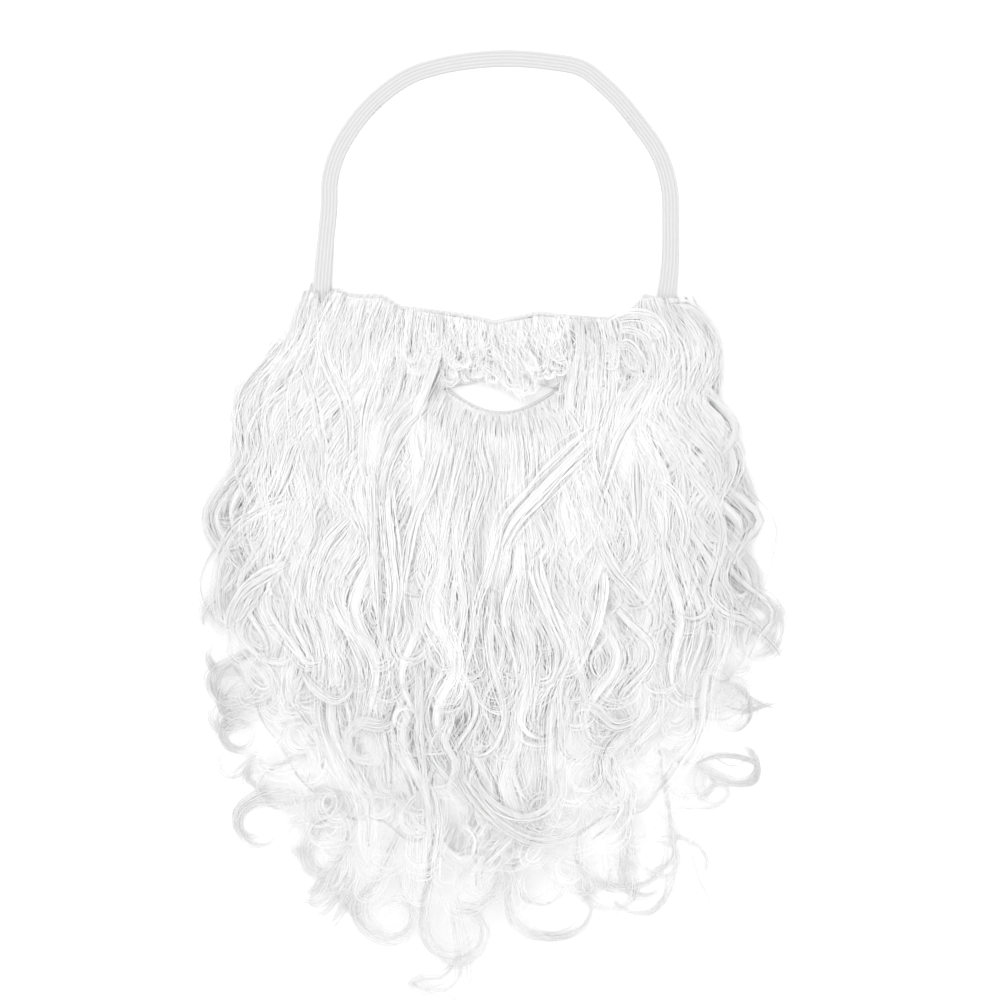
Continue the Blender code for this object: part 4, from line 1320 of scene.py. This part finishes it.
def backing(cloth, thread):
    """Cloth base with its mouth opening, rolled hems and stitches."""
    lower, upper = mouth_outline()
    hole = np.vstack([lower, upper[-2:0:-1]])
    outline = cloth_outline()
    mesh = flat_shape("backing", [outline, hole], 0.0, CLOTH_THICKNESS)
    made = piece("backing_sheet", mesh, cloth, "backing_cloth", "backing")
    top = np.array([(x, y - 0.5 * HEM_DIAMETER, 0.5 * HEM_DIAMETER) for x, y in HEM_EDGE])
    top = smooth_route(top, 420)
    lip, _ = mouth_outline(0.5 * MOUTH_HEM_DIAMETER, 180)
    lip = np.column_stack([lip, np.full(len(lip), 0.5 * MOUTH_HEM_DIAMETER)])
    hems = [
        rolled_hem("top_hem", top, HEM_DIAMETER, cloth, HEM_PITCH),
        rolled_hem("mouth_hem", lip, MOUTH_HEM_DIAMETER, cloth, MOUTH_HEM_PITCH),
        hem_stitches("top_stitches", top, HEM_DIAMETER, thread, HEM_PITCH),
        hem_stitches("mouth_stitches", lip, MOUTH_HEM_DIAMETER, thread, MOUTH_HEM_PITCH),
    ]


def strap(material):
    """Flat elastic band with rounded lengthwise ribs that buckles on its inner edge where it bends most."""
    steps, columns = 380, 22
    route = smooth_route(STRAP_ROUTE, steps)
    route[:, 2] = np.maximum(route[:, 2], 0.0)
    run = run_of(route)
    _, side, _ = frames_of(route[None])
    place = np.linspace(-1.0, 1.0, columns)
    ribs = 0.07 * np.cos(place * math.pi * STRAP_RIBS) - 0.25 * np.abs(place) ** 10
    buckle = np.zeros(steps)
    for spot, reach in STRAP_BUCKLES:
        buckle += np.exp(-((run - spot) / reach) ** 2)
    ripple = buckle[:, None] * (0.5 + 0.5 * np.sin(2 * math.pi * run / 3.4))[:, None]
    inner = np.clip((place + 0.1) / 1.1, 0.0, 1.0)[None] ** 1.5
    lift = 1.3 * ripple * inner
    work = bmesh.new()
    rings = []
    for i in range(steps):
        across = side[0, i] * (0.5 * STRAP_WIDTH)
        top, bottom = [], []
        for k in range(columns):
            spot = route[i] + across * place[k] * (1 - 0.02 * buckle[i])
            rise = lift[i, k]
            top.append(work.verts.new((spot + [0, 0, STRAP_THICKNESS - 0.1 + ribs[k] + rise]) * MM))
            bottom.append(work.verts.new((spot + [0, 0, 0.05 + 0.5 * rise]) * MM))
        rings.append(top + bottom[::-1])
    around = len(rings[0])
    layer = work.loops.layers.uv.new(TONE_MAP)
    for i in range(steps - 1):
        for k in range(around):
            n = (k + 1) % around
            face = work.faces.new((rings[i][k], rings[i][n], rings[i + 1][n], rings[i + 1][k]))
            for loop, (row, column) in zip(face.loops, ((i, k), (i, k + 1), (i + 1, k + 1), (i + 1, k))):
                share = column / columns if column <= columns else (around - column) / columns
                loop[layer].uv = (share, run[row] / run[-1])
    work.faces.new(rings[0])
    work.faces.new(rings[-1][::-1])
    outward(work)
    mesh = finished(work, "strap_band")
    mesh.shade_smooth()
    made = piece("strap_band", mesh, material, "white_elastic", "strap")


# Hair

BEARD = "beard_hair"
OVER_LIP_HAIR = "over_lip_hair"
# Least and most width of a strand
THICK = (0.26, 0.38)
FINE = (0.22, 0.34)
TIPS = (0.28, 0.42)
LOOSE = {"around": (0.2, 1.0), "clumps": 3}
FRIZZY = {"around": (0.2, 1.0), "over_mouth": True, "clumps": 2, "crimp": 0.2}


def bundles(locks, count, rng, **how):
    return [bundle(lock, count, rng, **how) for lock in locks]


def traced_locks(rows, least=0.0):
    return [traced_lock(*row, least=least) for row in rows]


def traced_bundles(rows, rng, share, least=0.0, **how):
    """Strands of the traced locks, more of them in a wider lock."""
    return [
        bundle(lock, int(share * row[0]) + 3, rng, tone=row[2], **how)
        for lock, row in zip(traced_locks(rows, least), rows)
    ]


def beard_layers(rng, look, finishes, combed):
    """Layers of the long hair from the cloth up; finishes names the curls, which have no matted bodies."""
    large = [large_lock(*row) for row in FALLS]
    deep = layer_of_falls(rng, *DEEP_LAYER)
    middle = layer_of_falls(rng, *MIDDLE_LAYER)
    upper = layer_of_falls(rng, *UPPER_LAYER)
    low = layer_of_falls(rng, *LOW_LAYER)
    ringlets = ringlet_locks(rng)
    curls = [side_curl(*row) for row in CURLS]
    # name, locks, strands in each, how they lie
    layers = (
        ("large_lock", large, 34, {"points": 30, "period": 44.0}),
        ("deep", deep, 13, {"points": 24, "period": 44.0}),
        ("middle", middle, 16, {}),
        ("upper", upper, 14, {"points": 18}),
        ("low", low, 12, {"points": 18}),
        ("ringlet", ringlets, 7, {"points": 16, "crimp": 0.7, "around": (0.2, 1.10)}),
        ("curl", curls, 17, {"crimp": 0.6, "shortest": 0.75, "around": (0.2, 1.06)}),
    )
    for name, locks, count, how in layers:
        tones = rng.uniform(0.1, 0.9, len(locks))
        finish, thickness = (finishes[name], TIPS) if name in finishes else (look, THICK)
        if finish is look:
            lock_bodies(name + "_bodies", locks, tones, combed, BEARD)
        strands = [bundle(lock, count, rng, tone=tone, **how) for lock, tone in zip(locks, tones)]
        strand_piece(name + "_strands", strands, thickness, rng, finish, BEARD)


def traced_and_loose_hair(rng, look, near_mouth, open_curl, combed):
    """Locks that stand out, open curls on the table, wisps below the lip, cheek roots and strays."""
    rows = CHEEK_AND_BODY_LOCKS
    lock_bodies("body_lock_bodies", traced_locks(rows), [row[2] for row in rows], combed, BEARD)
    strand_piece("body_lock_strands", traced_bundles(rows, rng, 2.2, crimp=0.5), THICK, rng, look, BEARD)
    strands = traced_bundles(LOW_LOCKS, rng, 2.5, crimp=0.5, drawn=(0.1, 0.4), points=26, **LOOSE)
    strand_piece("low_lock_strands", strands, TIPS, rng, open_curl, BEARD)
    strands = bundles(lip_locks(rng), 12, rng, crimp=0.4, points=18, **LOOSE)
    strand_piece("lip_strands", strands, FINE, rng, near_mouth, BEARD)
    strands = bundles(cheek_locks(rng), 9, rng, crimp=0.5, points=12, **LOOSE)
    strand_piece("cheek_strands", strands, FINE, rng, look, BEARD)
    strays = stray_paths(rng)
    strand_piece("stray_strands", [(strays, np.full(len(strays), 0.1))], FINE, rng, open_curl, BEARD)


def over_lip(rng, near_mouth):
    """Fuzzy hair between the top hem and the mouth."""
    locks = [over_lip_lock(*row) for row in OVER_LIP]
    strands = bundles(locks, 30, rng, points=16, **dict(FRIZZY, clumps=4, frizz=0.9))
    strand_piece("over_lip_strands", strands, FINE, rng, near_mouth, OVER_LIP_HAIR)
    curls, roots = lip_fuzz(rng)
    strands = bundles(curls, 8, rng, frizz=0.3, points=10, **FRIZZY)
    strands += bundles(fringe_locks(rng), 8, rng, points=10, **FRIZZY)
    strands += traced_bundles(TUFT_LOCKS, rng, 2.5, least=8.0, points=10, **FRIZZY)
    strand_piece("over_lip_curls", strands, FINE, rng, near_mouth, OVER_LIP_HAIR)
    strands = bundles(roots, 7, rng, frizz=0.2, points=9, **FRIZZY)
    strand_piece("over_lip_roots", strands, FINE, rng, near_mouth, OVER_LIP_HAIR)


def hair():
    rng = np.random.default_rng(SEED)
    look = strand_finish("hair_strand", 0.83, 0.99, 0.5)
    # Lighter hair round the mouth: painted light that lifts the shade in the mouth's dip
    near_mouth = strand_finish("mouth_strand", 0.86, 1.0, 0.5)
    # Darker open curls, strays and low locks, and slightly darker ringlets: painted shade of the curls, which
    # also makes them show against the table
    open_curl = strand_finish("open_curl_strand", 0.70, 0.87, 0.5)
    ringlet = strand_finish("ringlet_strand", 0.74, 0.92, 0.5)
    combed = body_finish("lock_body", 0.76, 0.92)
    under_coat(under_finish("hair_under", 0.78, 0.93))
    beard_layers(rng, look, {"ringlet": ringlet, "curl": open_curl}, combed)
    traced_and_loose_hair(rng, look, near_mouth, open_curl, combed)
    over_lip(rng, near_mouth)


# Stage, light and camera

def stage():
    work = bmesh.new()
    bmesh.ops.create_grid(work, x_segments=1, y_segments=1, size=4.0)
    mesh = finished(work, "table_top")
    top = bpy.data.objects.new("table_top", mesh)
    bpy.context.scene.collection.objects.link(top)
    finish = Finish("table_white", 0.9, Specular_IOR_Level=0.0)
    finish.feed("Base Color", grey(0.93))
    mesh.materials.append(finish.material)


def light():
    world = bpy.data.worlds.new("studio")
    world.use_nodes = True
    world.node_tree.nodes["Background"].inputs["Color"].default_value = (1.0, 1.0, 1.0, 1.0)
    world.node_tree.nodes["Background"].inputs["Strength"].default_value = 1.16
    bpy.context.scene.world = world
    for name, place, size, power in (
        ("key", (-0.9, 0.9, 1.5), 1.2, 8.0),
        ("fill", (1.1, -0.7, 1.4), 1.4, 4.0),
    ):
        lamp = bpy.data.lights.new(name, "AREA")
        lamp.size = size
        lamp.energy = power
        holder = bpy.data.objects.new(name, lamp)
        bpy.context.scene.collection.objects.link(holder)
        holder.location = place
        aim = bpy.data.objects["table_top"].location - holder.location
        holder.rotation_euler = aim.to_track_quat("-Z", "Y").to_euler()
    bpy.context.scene.view_settings.view_transform = "Standard"


def camera():
    data = bpy.data.cameras.new("overhead")
    data.lens = LENS
    data.sensor_width = SENSOR
    data.clip_end = 20.0
    holder = bpy.data.objects.new("overhead", data)
    bpy.context.scene.collection.objects.link(holder)
    height = LENS / SENSOR * PICTURE_WIDTH * MM
    holder.location = (PICTURE_CENTRE[0] * MM, PICTURE_CENTRE[1] * MM, height)
    bpy.context.scene.camera = holder


camera()
stage()
light()
backing(cloth_finish("backing_weave", 0.64, 0.80, 1100.0), cloth_finish("hem_thread", 0.70, 0.82, 900.0))
strap(elastic_finish("elastic_rib", 0.50, 0.70))
hair()
